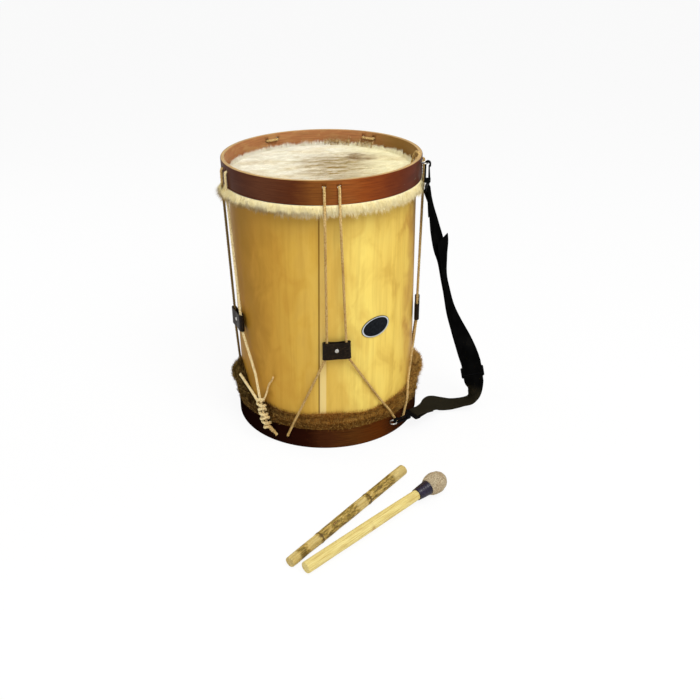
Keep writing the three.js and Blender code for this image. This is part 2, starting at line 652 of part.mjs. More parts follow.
function buildTuners() {
  const channelDepth = ROPE_RADIUS + FIT_GAP
  const deep = channelDepth + LEATHER_THICKNESS
  const seat = deep * TUNER_NIP_SHARE
  const channel = (low, high) => {
    return roundedRectangle(low, -channelDepth, high, channelDepth, channelDepth * 0.9, 2)
  }
  const sleeve = slab(tunerOutline(), TUNER_HEIGHT,
    [channel(CHANNEL_INNER, CHANNEL_OUTER), channel(-CHANNEL_OUTER, -CHANNEL_INNER)])
  const bore = rodAlong(new THREE.Vector3(0, -deep - OVERRUN, 0), new THREE.Vector3(0, deep + OVERRUN, 0),
    RIVET_RADIUS + FIT_GAP, HOLE_SIDES)
  const frontSeat = rodAlong(new THREE.Vector3(0, seat, 0), new THREE.Vector3(0, deep + OVERRUN, 0),
    RIVET_HEAD_RADIUS + FIT_GAP, SMALL_ROUND_SIDES)
  const backSeat = rodAlong(new THREE.Vector3(0, -deep - OVERRUN, 0), new THREE.Vector3(0, -seat, 0),
    RIVET_BURR_RADIUS + FIT_GAP, SMALL_ROUND_SIDES)
  const under = seat + FIT_GAP
  const rivet = lathe([
    [0, -under - RIVET_BURR_THICKNESS], [RIVET_BURR_RADIUS, -under - RIVET_BURR_THICKNESS],
    [RIVET_BURR_RADIUS, -under], [RIVET_RADIUS, -under], [RIVET_RADIUS, under],
    [RIVET_HEAD_RADIUS, under], [RIVET_HEAD_RADIUS * 0.7, under + RIVET_HEAD_HEIGHT],
    [0, under + RIVET_HEAD_HEIGHT]
  ], HOLE_SIDES).rotateX(degrees(-90))
  TENSIONERS.forEach(({ name }, i) => {
    const sleeveGeometry = cutFrom(sleeve.clone(), [bore, frontSeat, backSeat])
    addPiece(`tuner_${name}`, sleeveGeometry.applyMatrix4(tunerMatrix(i)), 'leather')
    addPiece(`tuner_rivet_${name}`, rivet.clone().applyMatrix4(tunerMatrix(i)), 'steel')
  })
}

// Hair margins: the top one hangs below the hoop, the bottom one stands up against the shell in flaps,
// and is relieved where the rope presses into it
function reliefFrom(geometry) {
  let body = solid(geometry)
  for (const tool of ropeRelief()) {
    body = body.subtract(solid(tool))
  }
  const parts = body.decompose().sort((a, b) => b.volume() - a.volume())
  return geometryOf(parts[0])
}

function buildTopFringe() {
  const inner = WRAP_OUTER + FIT_GAP
  const outer = inner + FRINGE_THICKNESS
  const high = TOP_HOOP_LOW - FIT_GAP
  const low = high - FRINGE_HEIGHT
  const underWrap = TOP_HOOP_LOW - FIT_GAP - WRAP_HEIGHT - FIT_GAP
  const tucked = SKIRT_OUTER + FRINGE_THICKNESS / 2
  const ring = lathe([
    [tucked, underWrap], [inner, low], [outer, low + FRINGE_THICKNESS], [outer, high], [inner, high],
    [inner, underWrap]
  ])
  addPiece('top_fringe', ring, 'paleHair')
}

function flapShare(azimuth) {
  return FLAPS.reduce((share, flap) => {
    const turn = THREE.MathUtils.euclideanModulo(azimuth - flap.azimuth + 180, 360) - 180
    const away = Math.abs(turn) / flap.halfAngle
    return away < 1 ? Math.max(share, flap.share * Math.cos(away * Math.PI / 2) ** 2) : share
  }, 0)
}

function collarSection(azimuth) {
  const share = flapShare(azimuth)
  const low = HOOP_WIDTH + FIT_GAP
  const overWrap = low + WRAP_HEIGHT + FIT_GAP
  const wrapSide = WRAP_OUTER + FIT_GAP
  const onShell = SHELL_OUTER_RADIUS + FIT_GAP
  const waver = COLLAR_THICKNESS * Math.sin(degrees(azimuth * COLLAR_WAVES))
  const top = HOOP_WIDTH + COLLAR_LOW_HEIGHT + waver + share * COLLAR_FLAP_HEIGHT
  const rise = COLLAR_RISE_SHARES.map((part) => {
    const flare = COLLAR_FLARE * share * Math.sin(Math.PI * part ** COLLAR_FLARE_POWER)
    return [onShell + flare, overWrap + (top - overWrap) * part]
  })
  const wrapOutside = wrapSide + FRINGE_THICKNESS
  const inside = [[wrapSide, low], [wrapSide, overWrap], ...rise]
  const outside = rise.map(([r, z], i) => [r + COLLAR_THICKNESS * (1 - COLLAR_RISE_SHARES[i] / 2), z])
  return [...inside, ...outside.reverse(), [wrapOutside, overWrap], [wrapOutside, low]]
}

function buildBottomCollar() {
  const positions = []
  const index = []
  const size = collarSection(0).length
  for (let i = 0; i < COLLAR_SEGMENTS; i++) {
    const azimuth = 360 * i / COLLAR_SEGMENTS
    collarSection(azimuth).forEach(([r, z]) => positions.push(...around(azimuth, r, z).toArray()))
    const next = (i + 1) % COLLAR_SEGMENTS
    for (let k = 0; k < size; k++) {
      const after = (k + 1) % size
      const corners = [i * size + k, i * size + after, next * size + after, next * size + k]
      index.push(corners[0], corners[1], corners[2], corners[0], corners[2], corners[3])
    }
  }
  const collar = new THREE.BufferGeometry()
  collar.setAttribute('position', new THREE.Float32BufferAttribute(positions, 3))
  collar.setIndex(index)
  addPiece('bottom_fur_collar', reliefFrom(collar), 'brownHair')
}

// Knot: the rope's end wound round the front left leg in open turns, with a short and a long tail
function legPlace(z) {
  const stations = lowerRoutes[KNOT_BIGHT]
  const after = stations.findIndex((point) => point.z <= z)
  const share = (stations[after - 1].z - z) / (stations[after - 1].z - stations[after].z)
  return stations[after - 1].clone().lerp(stations[after], share)
}

// Least gap between stretches of one tube that lie more than a turn's quarter apart along it
function leastSelfGap(stations, radius) {
  const fine = new StationPath(stations).getPoints(stations.length * KNOT_STEPS_PER_TURN)
  const apart = Math.round(KNOT_STEPS_PER_TURN ** 2 / 2)
  let least = Infinity
  for (let i = 0; i < fine.length; i++) {
    for (let k = i + apart; k < fine.length; k++) {
      least = Math.min(least, fine[i].distanceTo(fine[k]) - 2 * radius)
    }
  }
  return least
}

function buildKnot() {
  const reach = ROPE_RADIUS * 2 + KNOT_SLACK
  const tail = ([azimuth, away, z]) => around(azimuth, HOOP_OUTER_RADIUS + away, z)
  const stations = KNOT_LOW_TAIL.map(tail)
  const steps = Math.round(KNOT_TURNS * KNOT_STEPS_PER_TURN)
  const stepHeight = (KNOT_TOP - KNOT_BOTTOM) / steps
  for (let i = 0; i <= steps; i++) {
    const z = KNOT_BOTTOM + stepHeight * i
    const centre = legPlace(z)
    const along = legPlace(z + stepHeight).sub(legPlace(z - stepHeight)).normalize()
    const out = new THREE.Vector3(centre.x, centre.y, 0).normalize()
    const side = along.clone().cross(out).normalize()
    const front = side.clone().cross(along)
    const turn = degrees(KNOT_START_ANGLE) - 2 * Math.PI * i / KNOT_STEPS_PER_TURN
    centre.addScaledVector(front, reach * Math.cos(turn)).addScaledVector(side, reach * Math.sin(turn))
    stations.push(centre)
  }
  stations.push(...KNOT_HIGH_TAIL.map(tail))
  console.log(`knot: least gap to itself ${leastSelfGap(stations, ROPE_RADIUS).toFixed(2)} mm`)
  addPiece('rope_knot', tube(stations, ROPE_RADIUS, KNOT_SIDES), 'rope')
}

// Badge: a blank oval plate bent to the shell, with a raised rim
function buildBadge() {
  const tilt = degrees(BADGE_TILT)
  const place = (share, turn, height) => {
    const x = share * BADGE_WIDTH / 2 * Math.cos(turn)
    const y = share * BADGE_TALL / 2 * Math.sin(turn)
    const along = x * Math.cos(tilt) - y * Math.sin(tilt)
    const up = x * Math.sin(tilt) + y * Math.cos(tilt)
    const radius = SHELL_OUTER_RADIUS + 1.5 * FIT_GAP + height
    return around(BADGE_AZIMUTH + THREE.MathUtils.radToDeg(along / SHELL_OUTER_RADIUS), radius,
      DRUM_HEIGHT * BADGE_HEIGHT_SHARE + up)
  }
  const front = BADGE_FRONT_SHARES.map(([share, rim]) => [share, BADGE_THICKNESS + BADGE_RIM * rim])
  const back = BADGE_BACK_SHARES.map((share) => [share, 0])
  const rows = [...front, ...back]
  const positions = rows.flatMap(([share, height]) => Array.from({ length: BADGE_SIDES },
    (_, k) => place(share, 2 * Math.PI * k / BADGE_SIDES, height).toArray()).flat())
  const index = []
  for (let i = 0; i < rows.length - 1; i++) {
    const row = i * BADGE_SIDES
    const nextRow = row + BADGE_SIDES
    for (let k = 0; k < BADGE_SIDES; k++) {
      const after = (k + 1) % BADGE_SIDES
      const corners = [row + k, row + after, nextRow + after, nextRow + k]
      index.push(corners[0], corners[1], corners[2], corners[0], corners[2], corners[3])
    }
  }
  const plate = new THREE.BufferGeometry()
  plate.setAttribute('position', new THREE.Float32BufferAttribute(positions, 3))
  plate.setIndex(index)
  addPiece('badge', plate, 'badge')
}

// Strap hardware. The hook's own frame: x away from the spine, y towards the eye, z through its thickness,
// with the eye's wire resting in the bend.
function hookFrame(eye, upAxis, outAxis) {
  return basis(outAxis, upAxis, outAxis.clone().cross(upAxis), eye)
}

function loopOutlines() {
  const half = LOOP_INNER_WIDTH / 2
  const high = -HOOK_REACH - HOOK_BASE_LENGTH - FIT_GAP
  const low = high - LOOP_STOCK - LOOP_SLOT - LOOP_STOCK
  return {
    outer: roundedRectangle(-half - LOOP_STOCK, low, half + LOOP_STOCK, high, LOOP_STOCK),
    slot: roundedRectangle(-half, low + LOOP_STOCK, half, high - LOOP_STOCK, LOOP_STOCK / 2),
    high,
    barCentre: low + LOOP_STOCK / 2
  }
}

function buildEye(name, azimuth, z, ringRadius) {
  const centre = around(azimuth, HOOP_OUTER_RADIUS + FIT_GAP + EYE_WIRE_RADIUS + ringRadius, z)
  const ring = new THREE.TorusGeometry(ringRadius, EYE_WIRE_RADIUS, 6, 18).translate(...centre.toArray())
  const shank = rodAlong(around(azimuth, HOOP_INNER_RADIUS + FIT_GAP, z),
    around(azimuth, HOOP_OUTER_RADIUS + FIT_GAP + EYE_WIRE_RADIUS, z), EYE_WIRE_RADIUS, HOLE_SIDES)
  addPiece(name, geometryOf(solid(ring).add(solid(shank))), 'steel')
  return centre
}

function taperedLink(from, fromRadius, to, toRadius) {
  const run = to.clone().sub(from)
  const lean = Math.asin((fromRadius - toRadius) / run.length())
  const heading = run.angle()
  const points = []
  const steps = 4
  for (let k = 0; k <= steps; k++) {
    const turn = heading + Math.PI / 2 - lean + (Math.PI + 2 * lean) * k / steps
    points.push(new THREE.Vector2(from.x + fromRadius * Math.cos(turn), from.y + fromRadius * Math.sin(turn)))
  }
  for (let k = 0; k <= steps; k++) {
    const turn = heading - Math.PI / 2 + lean + (Math.PI - 2 * lean) * k / steps
    points.push(new THREE.Vector2(to.x + toRadius * Math.cos(turn), to.y + toRadius * Math.sin(turn)))
  }
  return points
}

function buildHook(side, frame) {
  const half = HOOK_INNER_HALF + HOOK_STOCK
  const lift = HOOK_INNER_HALF - EYE_WIRE_RADIUS - HOOK_SEAT_GAP
  const bend = -lift
  const baseHigh = -HOOK_REACH
  const baseLow = baseHigh - HOOK_BASE_LENGTH
  const noseLow = bend - HOOK_NOSE_LENGTH
  const noseStep = bend - HOOK_NOSE_LENGTH / 2 + FIT_GAP
  const noseInner = HOOK_INNER_HALF + HOOK_STOCK / 3
  const steps = 8
  const arc = (radius, from, to) => Array.from({ length: steps + 1 }, (_, k) => {
    const turn = degrees(from + (to - from) * k / steps)
    return new THREE.Vector2(radius * Math.cos(turn), bend + radius * Math.sin(turn))
  })
  const outline = [
    new THREE.Vector2(half - HOOK_CHAMFER, baseLow), new THREE.Vector2(half, baseLow + HOOK_CHAMFER),
    new THREE.Vector2(half, baseHigh), new THREE.Vector2(-HOOK_INNER_HALF, baseHigh),
    ...arc(HOOK_INNER_HALF, 180, 0),
    new THREE.Vector2(HOOK_INNER_HALF, noseStep), new THREE.Vector2(noseInner, noseStep),
    new THREE.Vector2(noseInner, noseLow), new THREE.Vector2(half, noseLow), ...arc(half, 0, 180),
    new THREE.Vector2(-half, baseLow + HOOK_CHAMFER), new THREE.Vector2(-half + HOOK_CHAMFER, baseLow)
  ]
  const pivot = new THREE.Vector2(half - GATE_EYE_RADIUS - FIT_GAP / 2, baseHigh - GATE_EYE_RADIUS)
  const fork = new THREE.BoxGeometry(half, 2 * GATE_EYE_RADIUS + 4 * FIT_GAP, GATE_THICKNESS + 2 * FIT_GAP)
    .translate(pivot.x + half / 2 - GATE_EYE_RADIUS - FIT_GAP, pivot.y + FIT_GAP, 0)
  const bore = rodAlong(new THREE.Vector3(0, baseLow - OVERRUN, 0),
    new THREE.Vector3(0, baseLow + LOOP_POST_LENGTH, 0), LOOP_POST_RADIUS + FIT_GAP, HOLE_SIDES)
  const chamber = rodAlong(new THREE.Vector3(0, baseLow + LOOP_POST_LENGTH - LOOP_HEAD_HEIGHT - FIT_GAP, 0),
    new THREE.Vector3(0, baseLow + LOOP_POST_LENGTH + FIT_GAP, 0), LOOP_HEAD_RADIUS + FIT_GAP, HOLE_SIDES)
  const pin = rodAlong(new THREE.Vector3(pivot.x, pivot.y, -HOOK_THICKNESS / 2 + FIT_GAP),
    new THREE.Vector3(pivot.x, pivot.y, HOOK_THICKNESS / 2 - FIT_GAP), GATE_PIN_RADIUS, HOLE_SIDES)
  const body = solid(slab(outline, HOOK_THICKNESS)).subtract(solid(fork)).subtract(solid(bore))
    .subtract(solid(chamber)).add(solid(pin))
  addPiece(`${side}_hook`, geometryOf(body).applyMatrix4(frame), 'plastic')

  const tip = new THREE.Vector2(noseInner - FIT_GAP - GATE_TIP_RADIUS, noseStep - FIT_GAP - GATE_TIP_RADIUS)
  const eyeHole = Array.from(circle(GATE_PIN_RADIUS + FIT_GAP, HOLE_SIDES), (point) => point.add(pivot))
  const gate = slab(taperedLink(pivot, GATE_EYE_RADIUS, tip, GATE_TIP_RADIUS), GATE_THICKNESS, [eyeHole])
  addPiece(`${side}_hook_gate`, gate.applyMatrix4(frame), 'plastic')

  const { outer, slot, high } = loopOutlines()
  const stem = rodAlong(new THREE.Vector3(0, high - LOOP_STOCK / 2, 0),
    new THREE.Vector3(0, baseLow + LOOP_POST_LENGTH - LOOP_HEAD_HEIGHT, 0), LOOP_POST_RADIUS, HOLE_SIDES)
  const head = rodAlong(new THREE.Vector3(0, baseLow + LOOP_POST_LENGTH - LOOP_HEAD_HEIGHT, 0),
    new THREE.Vector3(0, baseLow + LOOP_POST_LENGTH, 0), LOOP_HEAD_RADIUS, HOLE_SIDES)
  const loop = solid(slab(outer, LOOP_STOCK, [slot])).add(solid(stem)).add(solid(head))
  addPiece(`${side}_hook_loop`, geometryOf(loop).rotateY(degrees(90)).applyMatrix4(frame), 'plastic')
}

// Strap: flat webbing swept through stations, each with its place, its width's direction and its half width.
// Both faces, and the layers that lie back along the run, are split along the same diagonals, so that a twist
// brings no face nearer to the next.
function band(stations, thickness) {
  const positions = []
  const index = []
  stations.forEach((station, i) => {
    const along = stations[Math.min(i + 1, stations.length - 1)].place.clone()
      .sub(stations[Math.max(i - 1, 0)].place)
    const normal = along.cross(station.across).normalize()
    for (const [side, face] of [[-1, -1], [1, -1], [1, 1], [-1, 1]]) {
      positions.push(...station.place.clone().addScaledVector(station.across, side * station.half)
        .addScaledVector(normal, face * thickness / 2).toArray())
    }
  })
  for (let i = 0; i < stations.length - 1; i++) {
    for (let k = 0; k < 4; k++) {
      const [a, b] = [4 * i + k, 4 * i + (k + 1) % 4]
      const laidBack = stations[i].laidBack && stations[i + 1].laidBack
      const farFace = k === 2
      if (farFace === Boolean(laidBack)) {
        index.push(a, b, b + 4, a, b + 4, a + 4)
      } else {
        index.push(a, b, a + 4, b, b + 4, a + 4)
      }
    }
  }
  const end = 4 * (stations.length - 1)
  index.push(1, 0, 3, 1, 3, 2, end, end + 1, end + 2, end, end + 2, end + 3)
  const geometry = new THREE.BufferGeometry()
  geometry.setAttribute('position', new THREE.Float32BufferAttribute(positions, 3))
  geometry.setIndex(index)
  return geometry
}

function squareAcross(across, along) {
  const unit = along.clone().normalize()
  return across.clone().addScaledVector(unit, -across.dot(unit)).normalize()
}

// Smooth stations through the hand-chosen rows
function bandRun(rows, steps) {
  const centre = new THREE.CatmullRomCurve3(rows.map(([x, y, z]) => new THREE.Vector3(x, y, z)))
  const lay = new THREE.CatmullRomCurve3(
    rows.map(([, , , turn, tilt, half]) => new THREE.Vector3(turn, tilt, half)))
  centre.curveType = 'catmullrom'
  lay.curveType = 'catmullrom'
  return Array.from({ length: steps + 1 }, (_, i) => {
    const along = centre.getTangent(i / steps)
    const { x: turn, y: tilt, z: half } = lay.getPoint(i / steps)
    const flat = Math.cos(degrees(tilt))
    const across = new THREE.Vector3(flat * Math.cos(degrees(turn)), flat * Math.sin(degrees(turn)),
      Math.sin(degrees(tilt)))
    return { place: centre.getPoint(i / steps), across: squareAcross(across, along), along, half }
  })
}

function layer(stations, offset) {
  return stations.map((station) => {
    const normal = station.along.clone().cross(station.across).normalize()
    return { ...station, place: station.place.clone().addScaledVector(normal, offset), laidBack: true }
  })
}

// A half turn of webbing round a bar: it starts on the far side, passes over and comes back on the near side
function foldRound(bar, over, near, across, radius, half) {
  return Array.from({ length: FOLD_STEPS + 1 }, (_, k) => {
    const turn = Math.PI * k / FOLD_STEPS
    const place = bar.clone()
    place.addScaledVector(near, -radius * Math.cos(turn)).addScaledVector(over, radius * Math.sin(turn))
    return { place, across, half }
  })
}

function stationAt(origin, along, normal, across, [down, out], half) {
  return { place: origin.clone().addScaledVector(along, down).addScaledVector(normal, out), across, half }
}

function buildStrap(upperBar, upperAcross, lowerBar, lowerAcross, lowerPull) {
  const half = WEB_WIDTH / 2
  const pinched = WEB_PINCHED_WIDTH / 2
  const loopFold = LOOP_STOCK * Math.SQRT1_2 + 2 * FIT_GAP + WEB_THICKNESS / 2
  const barFold = Math.hypot(SLIDER_BAR, SLIDER_THICKNESS) / 2 + FIT_GAP + WEB_THICKNESS / 2

  const lean = degrees(SLIDER_LEAN)
  const turn = degrees(SLIDER_WIDTH_ANGLE)
  const down = new THREE.Vector3(Math.sin(lean), 0, -Math.cos(lean))
  const across = squareAcross(new THREE.Vector3(Math.cos(turn), Math.sin(turn), 0), down)
  const facing = down.clone().cross(across).normalize()
  const slider = around(SLIDER_AZIMUTH, HOOP_OUTER_RADIUS + SLIDER_FROM_HOOP, SLIDER_HEIGHT)
  const pitch = SLIDER_BAR + SLIDER_SLOT
  const at = (s, n) => stationAt(slider, down, facing, across, [s, n], half)
  const turnRound = (s, over) => {
    return foldRound(slider.clone().addScaledVector(down, s), over, facing, across, barFold, half)
  }

  const routeRow = (bar, z, [along, aside, , turnOfWidth, tilt, widthShare]) => {
    const line = slider.clone().sub(bar).setZ(0)
    const place = bar.clone().setZ(z).addScaledVector(line, along)
    place.addScaledVector(new THREE.Vector3(-line.y, line.x, 0), aside)
    return [...place.toArray(), turnOfWidth, tilt, half * widthShare]
  }

  const above = at(-pitch * 2, -WEB_LAYER_PITCH / 2).place.toArray()
  const fall = upperBar.z - above[2]
  const upperRoute = UPPER_ROUTE_SHARES.map((row) => routeRow(upperBar, upperBar.z - fall * row[2], row))
  const upperRows = [...upperRoute, [...above, SLIDER_WIDTH_ANGLE, 0, half]]
  const run = bandRun(upperRows, RUN_STEPS)
  const outwards = run[0].along.clone().cross(run[0].across).normalize()
  const topFold = foldRound(upperBar, new THREE.Vector3(0, 0, 1), outwards, upperAcross, loopFold, pinched)
  const foldEnd = layer(run, -WEB_LAYER_PITCH).slice(0, STRAP_FOLD_STATIONS).reverse()
  const tail = layer(run, WEB_LAYER_PITCH).slice(-TAIL_STATIONS).reverse()
  const throughSlider = [
    at(-pitch, -barFold), ...turnRound(0, down), at(-pitch, barFold)
  ]
  const upperStations = [...foldEnd, ...topFold, ...run, ...throughSlider, ...tail]
  addPiece('strap_upper_webbing', band(upperStations, WEB_THICKNESS), 'webbing')

  const below = at(pitch * 2, -WEB_LAYER_PITCH / 2).place.toArray()
  const lowerRoute = LOWER_ROUTE_SHARES.map((row) => routeRow(lowerBar, LOWER_EYE_HEIGHT * row[2], row))
  const lowerRows = [[...below, LOWER_ROUTE_START_TURN, LOWER_ROUTE_START_TILT, half], ...lowerRoute]
  const lowerRun = bandRun(lowerRows, RUN_STEPS)
  const narrowing = (FLAP_TIP_WIDTH / 2 - half) / FLAP_STATIONS
  const flap = layer(lowerRun, WEB_LAYER_PITCH).slice(0, FLAP_STATIONS)
    .map((station, i) => ({ ...station, half: half + narrowing * (i + 1) }))
  const overBar = turnRound(pitch, down.clone().negate())
  const underside = new THREE.Vector3(0, 0, -1)
  const lowFold = foldRound(lowerBar, lowerPull.clone().negate(), underside, lowerAcross, loopFold, pinched)
  const lowEnd = layer(lowerRun, -WEB_LAYER_PITCH).slice(-STRAP_FOLD_STATIONS).reverse()
  const lowerStations = [...flap.reverse(), ...overBar.reverse(), ...lowerRun, ...lowFold, ...lowEnd]
  addPiece('strap_lower_webbing', band(lowerStations, WEB_THICKNESS), 'webbing')

  const wide = half + FIT_GAP * 2
  const tall = pitch + SLIDER_BAR / 2
  const slot = (from) => roundedRectangle(-wide, from, wide, from + SLIDER_SLOT, SLIDER_BAR / 3, 2)
  const outline = roundedRectangle(-wide - SLIDER_SIDE, -tall, wide + SLIDER_SIDE, tall, SLIDER_SIDE)
  const frame = slab(outline, SLIDER_THICKNESS, [slot(SLIDER_BAR / 2), slot(-SLIDER_BAR / 2 - SLIDER_SLOT)])
  addPiece('strap_slider', frame.applyMatrix4(basis(across, down.clone().negate(), facing, slider)), 'plastic')
}

function buildStrapAndHooks() {
  const up = new THREE.Vector3(0, 0, 1)
  const ringOut = HOOP_OUTER_RADIUS + FIT_GAP + EYE_WIRE_RADIUS
  buildEye('upper_strap_eye', UPPER_EYE_AZIMUTH, UPPER_EYE_Z, EYE_RING_RADIUS)
  const upperHang = around(UPPER_EYE_AZIMUTH, ringOut + 2 * EYE_RING_RADIUS, UPPER_EYE_Z)
  const upperFrame = hookFrame(upperHang, up, outward(UPPER_EYE_AZIMUTH))
  buildHook('upper', upperFrame)

  const lowerEye = buildEye('lower_strap_eye', LOWER_EYE_AZIMUTH, LOWER_EYE_HEIGHT, LOWER_EYE_RING_RADIUS)
  const pull = outward(LOWER_HOOK_HEADING)
  const lowerHang = lowerEye.clone().addScaledVector(pull, LOWER_EYE_RING_RADIUS)
  const lowerFrame = hookFrame(lowerHang, pull.clone().negate(), up)
  buildHook('lower', lowerFrame)

  const { barCentre } = loopOutlines()
  const upperBar = new THREE.Vector3(0, barCentre, 0).applyMatrix4(upperFrame)
  const lowerBar = new THREE.Vector3(0, barCentre, 0).applyMatrix4(lowerFrame)
  buildStrap(upperBar, sideways(UPPER_EYE_AZIMUTH), lowerBar, outward(LOWER_HOOK_HEADING - 90), pull)
}

// Beaters, each resting on the floor: a bare stick with two nodes, and a mallet with a bound, padded head
function placeBeater(geometry, from, heading, lowEnd, slope) {
  const along = outward(heading).setZ(Math.tan(slope)).normalize()
  const side = sideways(heading)
  const third = side.clone().cross(along).negate()
  return geometry.applyMatrix4(basis(third, side, along, new THREE.Vector3(...from, lowEnd)))
}

function alongProfile(shares, length, radius) {
  return shares.map(([s, r]) => [radius * r, length * s])
}

function buildBeaters() {
  const stick = lathe(alongProfile(STICK_SHARES, STICK_LENGTH, STICK_RADIUS), BEATER_SIDES)
  const [firstNode, secondNode] = [STICK_SHARES[STICK_NODES[0]], STICK_SHARES[STICK_NODES[1]]]
  const rise = (secondNode[1] - firstNode[1]) * STICK_RADIUS
  const slope = rise / ((secondNode[0] - firstNode[0]) * STICK_LENGTH)
  const lowEnd = STICK_RADIUS * firstNode[1] - slope * STICK_LENGTH * firstNode[0]
  addPiece('stick', placeBeater(stick, STICK_END, STICK_HEADING, lowEnd, Math.atan(slope)), 'bark')

  const handle = lathe(alongProfile(HANDLE_SHARES, MALLET_LENGTH, MALLET_HANDLE_RADIUS), BEATER_SIDES)
  const head = lathe(alongProfile(HEAD_SHARES, MALLET_LENGTH, MALLET_HEAD_RADIUS), BEATER_SIDES)
  const tape = lathe(alongProfile(TAPE_SHARES, MALLET_LENGTH, MALLET_HEAD_RADIUS), BEATER_SIDES)
  const malletSlope = (MALLET_HEAD_RADIUS - MALLET_HANDLE_RADIUS) / (MALLET_LENGTH * MALLET_WIDEST_SHARE)
  const malletLean = Math.atan(malletSlope)
  const place = (piece) => placeBeater(piece, MALLET_END, MALLET_HEADING, MALLET_HANDLE_RADIUS, malletLean)
  addPiece('mallet_handle', place(handle), 'handle')
  addPiece('mallet_tape', place(tape), 'tape')
  addPiece('mallet_head', place(head), 'felt')
}

buildShell()
buildHoops()
buildHides()
buildTopFringe()
buildBottomCollar()
buildRope()
buildKnot()
buildTuners()
buildBadge()
buildStrapAndHooks()
buildBeaters()

// The finished group stands on its own origin: centred in plan, lowest point at zero
group.updateMatrixWorld(true)
const extent = new THREE.Box3().setFromObject(group)
const middle = extent.getCenter(new THREE.Vector3())
for (const mesh of group.children) {
  mesh.geometry.translate(-middle.x, -middle.y, -extent.min.z)
}

export default group
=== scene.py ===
import math

import bmesh
import bpy
import numpy as np
from mathutils import Matrix, Vector, noise


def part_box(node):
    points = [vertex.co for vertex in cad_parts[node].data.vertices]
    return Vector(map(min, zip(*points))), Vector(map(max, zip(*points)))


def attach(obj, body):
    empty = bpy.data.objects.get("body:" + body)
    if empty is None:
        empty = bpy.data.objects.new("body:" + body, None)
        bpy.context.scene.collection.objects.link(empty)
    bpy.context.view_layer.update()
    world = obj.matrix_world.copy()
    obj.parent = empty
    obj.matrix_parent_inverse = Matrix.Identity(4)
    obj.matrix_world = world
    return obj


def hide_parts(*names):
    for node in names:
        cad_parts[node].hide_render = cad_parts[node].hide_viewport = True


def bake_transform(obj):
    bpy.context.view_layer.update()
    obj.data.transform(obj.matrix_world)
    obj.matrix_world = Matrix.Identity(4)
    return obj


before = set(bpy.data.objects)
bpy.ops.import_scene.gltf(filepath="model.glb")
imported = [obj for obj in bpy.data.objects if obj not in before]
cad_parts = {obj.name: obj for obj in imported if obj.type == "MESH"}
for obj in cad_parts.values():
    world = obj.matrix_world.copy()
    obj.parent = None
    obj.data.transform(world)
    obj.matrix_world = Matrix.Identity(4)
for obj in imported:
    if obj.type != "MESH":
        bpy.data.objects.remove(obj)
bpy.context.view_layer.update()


# View and light: the camera stands in front of the drum and looks down on it at 28 degrees. A soft lamp is
# high at the front right, weak ones are at the left and the right, and a strip stands behind the left side.
MM = 0.001
hoop_low, hoop_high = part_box("top_hoop")
AXIS = (hoop_low + hoop_high) / 2
AXIS.z = 0
CAMERA_LEFT, CAMERA_BACK, CAMERA_HEIGHT = 0.0169, 1.4358, 0.8681
CAMERA_YAW, CAMERA_PITCH, CAMERA_ROLL = -2.487, 27.824, -0.635
CAMERA_LENS, SENSOR_WIDTH, FAR_CLIP = 42.67, 36, 100
LAMP_AIM_HEIGHT = 0.2
BACKDROP, AMBIENT = 1, 0.52
FLOOR_HALF, FLOOR_DEPTH, FLOOR_GLOW = 15, 0.0005, 0.9
SQUARE_CORNERS = ((-1, -1), (1, -1), (1, 1), (-1, 1))


def placed(name, data):
    """A new object in the scene."""
    made = bpy.data.objects.new(name, data)
    bpy.context.scene.collection.objects.link(made)
    return made


camera_data = bpy.data.cameras.new("camera")
camera_data.lens = CAMERA_LENS
camera_data.sensor_width = SENSOR_WIDTH
camera_data.clip_end = FAR_CLIP
camera = placed("camera", camera_data)
camera.matrix_world = (Matrix.Translation((AXIS.x - CAMERA_LEFT, AXIS.y - CAMERA_BACK, CAMERA_HEIGHT))
                       @ Matrix.Rotation(math.radians(CAMERA_YAW), 4, "Z")
                       @ Matrix.Rotation(math.radians(90 - CAMERA_PITCH), 4, "X")
                       @ Matrix.Rotation(math.radians(CAMERA_ROLL), 4, "Z"))
bpy.context.scene.camera = camera
bpy.context.scene.view_settings.view_transform = "Standard"


def linear(code):
    """A display colour, written as six hex digits, as linear light."""
    shares = [int(code[i:i + 2], 16) / 255 for i in (0, 2, 4)]
    return [s / 12.92 if s < 0.04045 else ((s + 0.055) / 1.055) ** 2.4 for s in shares] + [1]


def node(tree, kind, inputs=None, **settings):
    """A new node with its settings. Each input is linked from another node's socket or given a value."""
    made = tree.nodes.new(kind)
    for key, value in settings.items():
        setattr(made, key, value)
    for key, value in (inputs or {}).items():
        if isinstance(value, bpy.types.NodeSocket):
            tree.links.new(value, made.inputs[key])
        else:
            made.inputs[key].default_value = value
    return made


def calc(tree, operation, *values):
    """One sum of values and sockets."""
    return node(tree, "ShaderNodeMath", dict(enumerate(values)), operation=operation).outputs[0]


def lamp(name, azimuth, elevation, distance, width, height, power):
    """An area lamp that faces the middle of the drum."""
    data = bpy.data.lights.new(name, "AREA")
    data.shape = "RECTANGLE"
    data.size = width
    data.size_y = height
    data.energy = power
    made = placed(name, data)
    turn, rise = math.radians(azimuth), math.radians(elevation)
    away = Vector((math.cos(turn) * math.cos(rise), math.sin(turn) * math.cos(rise), math.sin(rise)))
    target = Vector((AXIS.x, AXIS.y, LAMP_AIM_HEIGHT))
    turned = away.to_track_quat("Z", "Y").to_matrix().to_4x4()
    made.matrix_world = Matrix.Translation(target + away * distance) @ turned


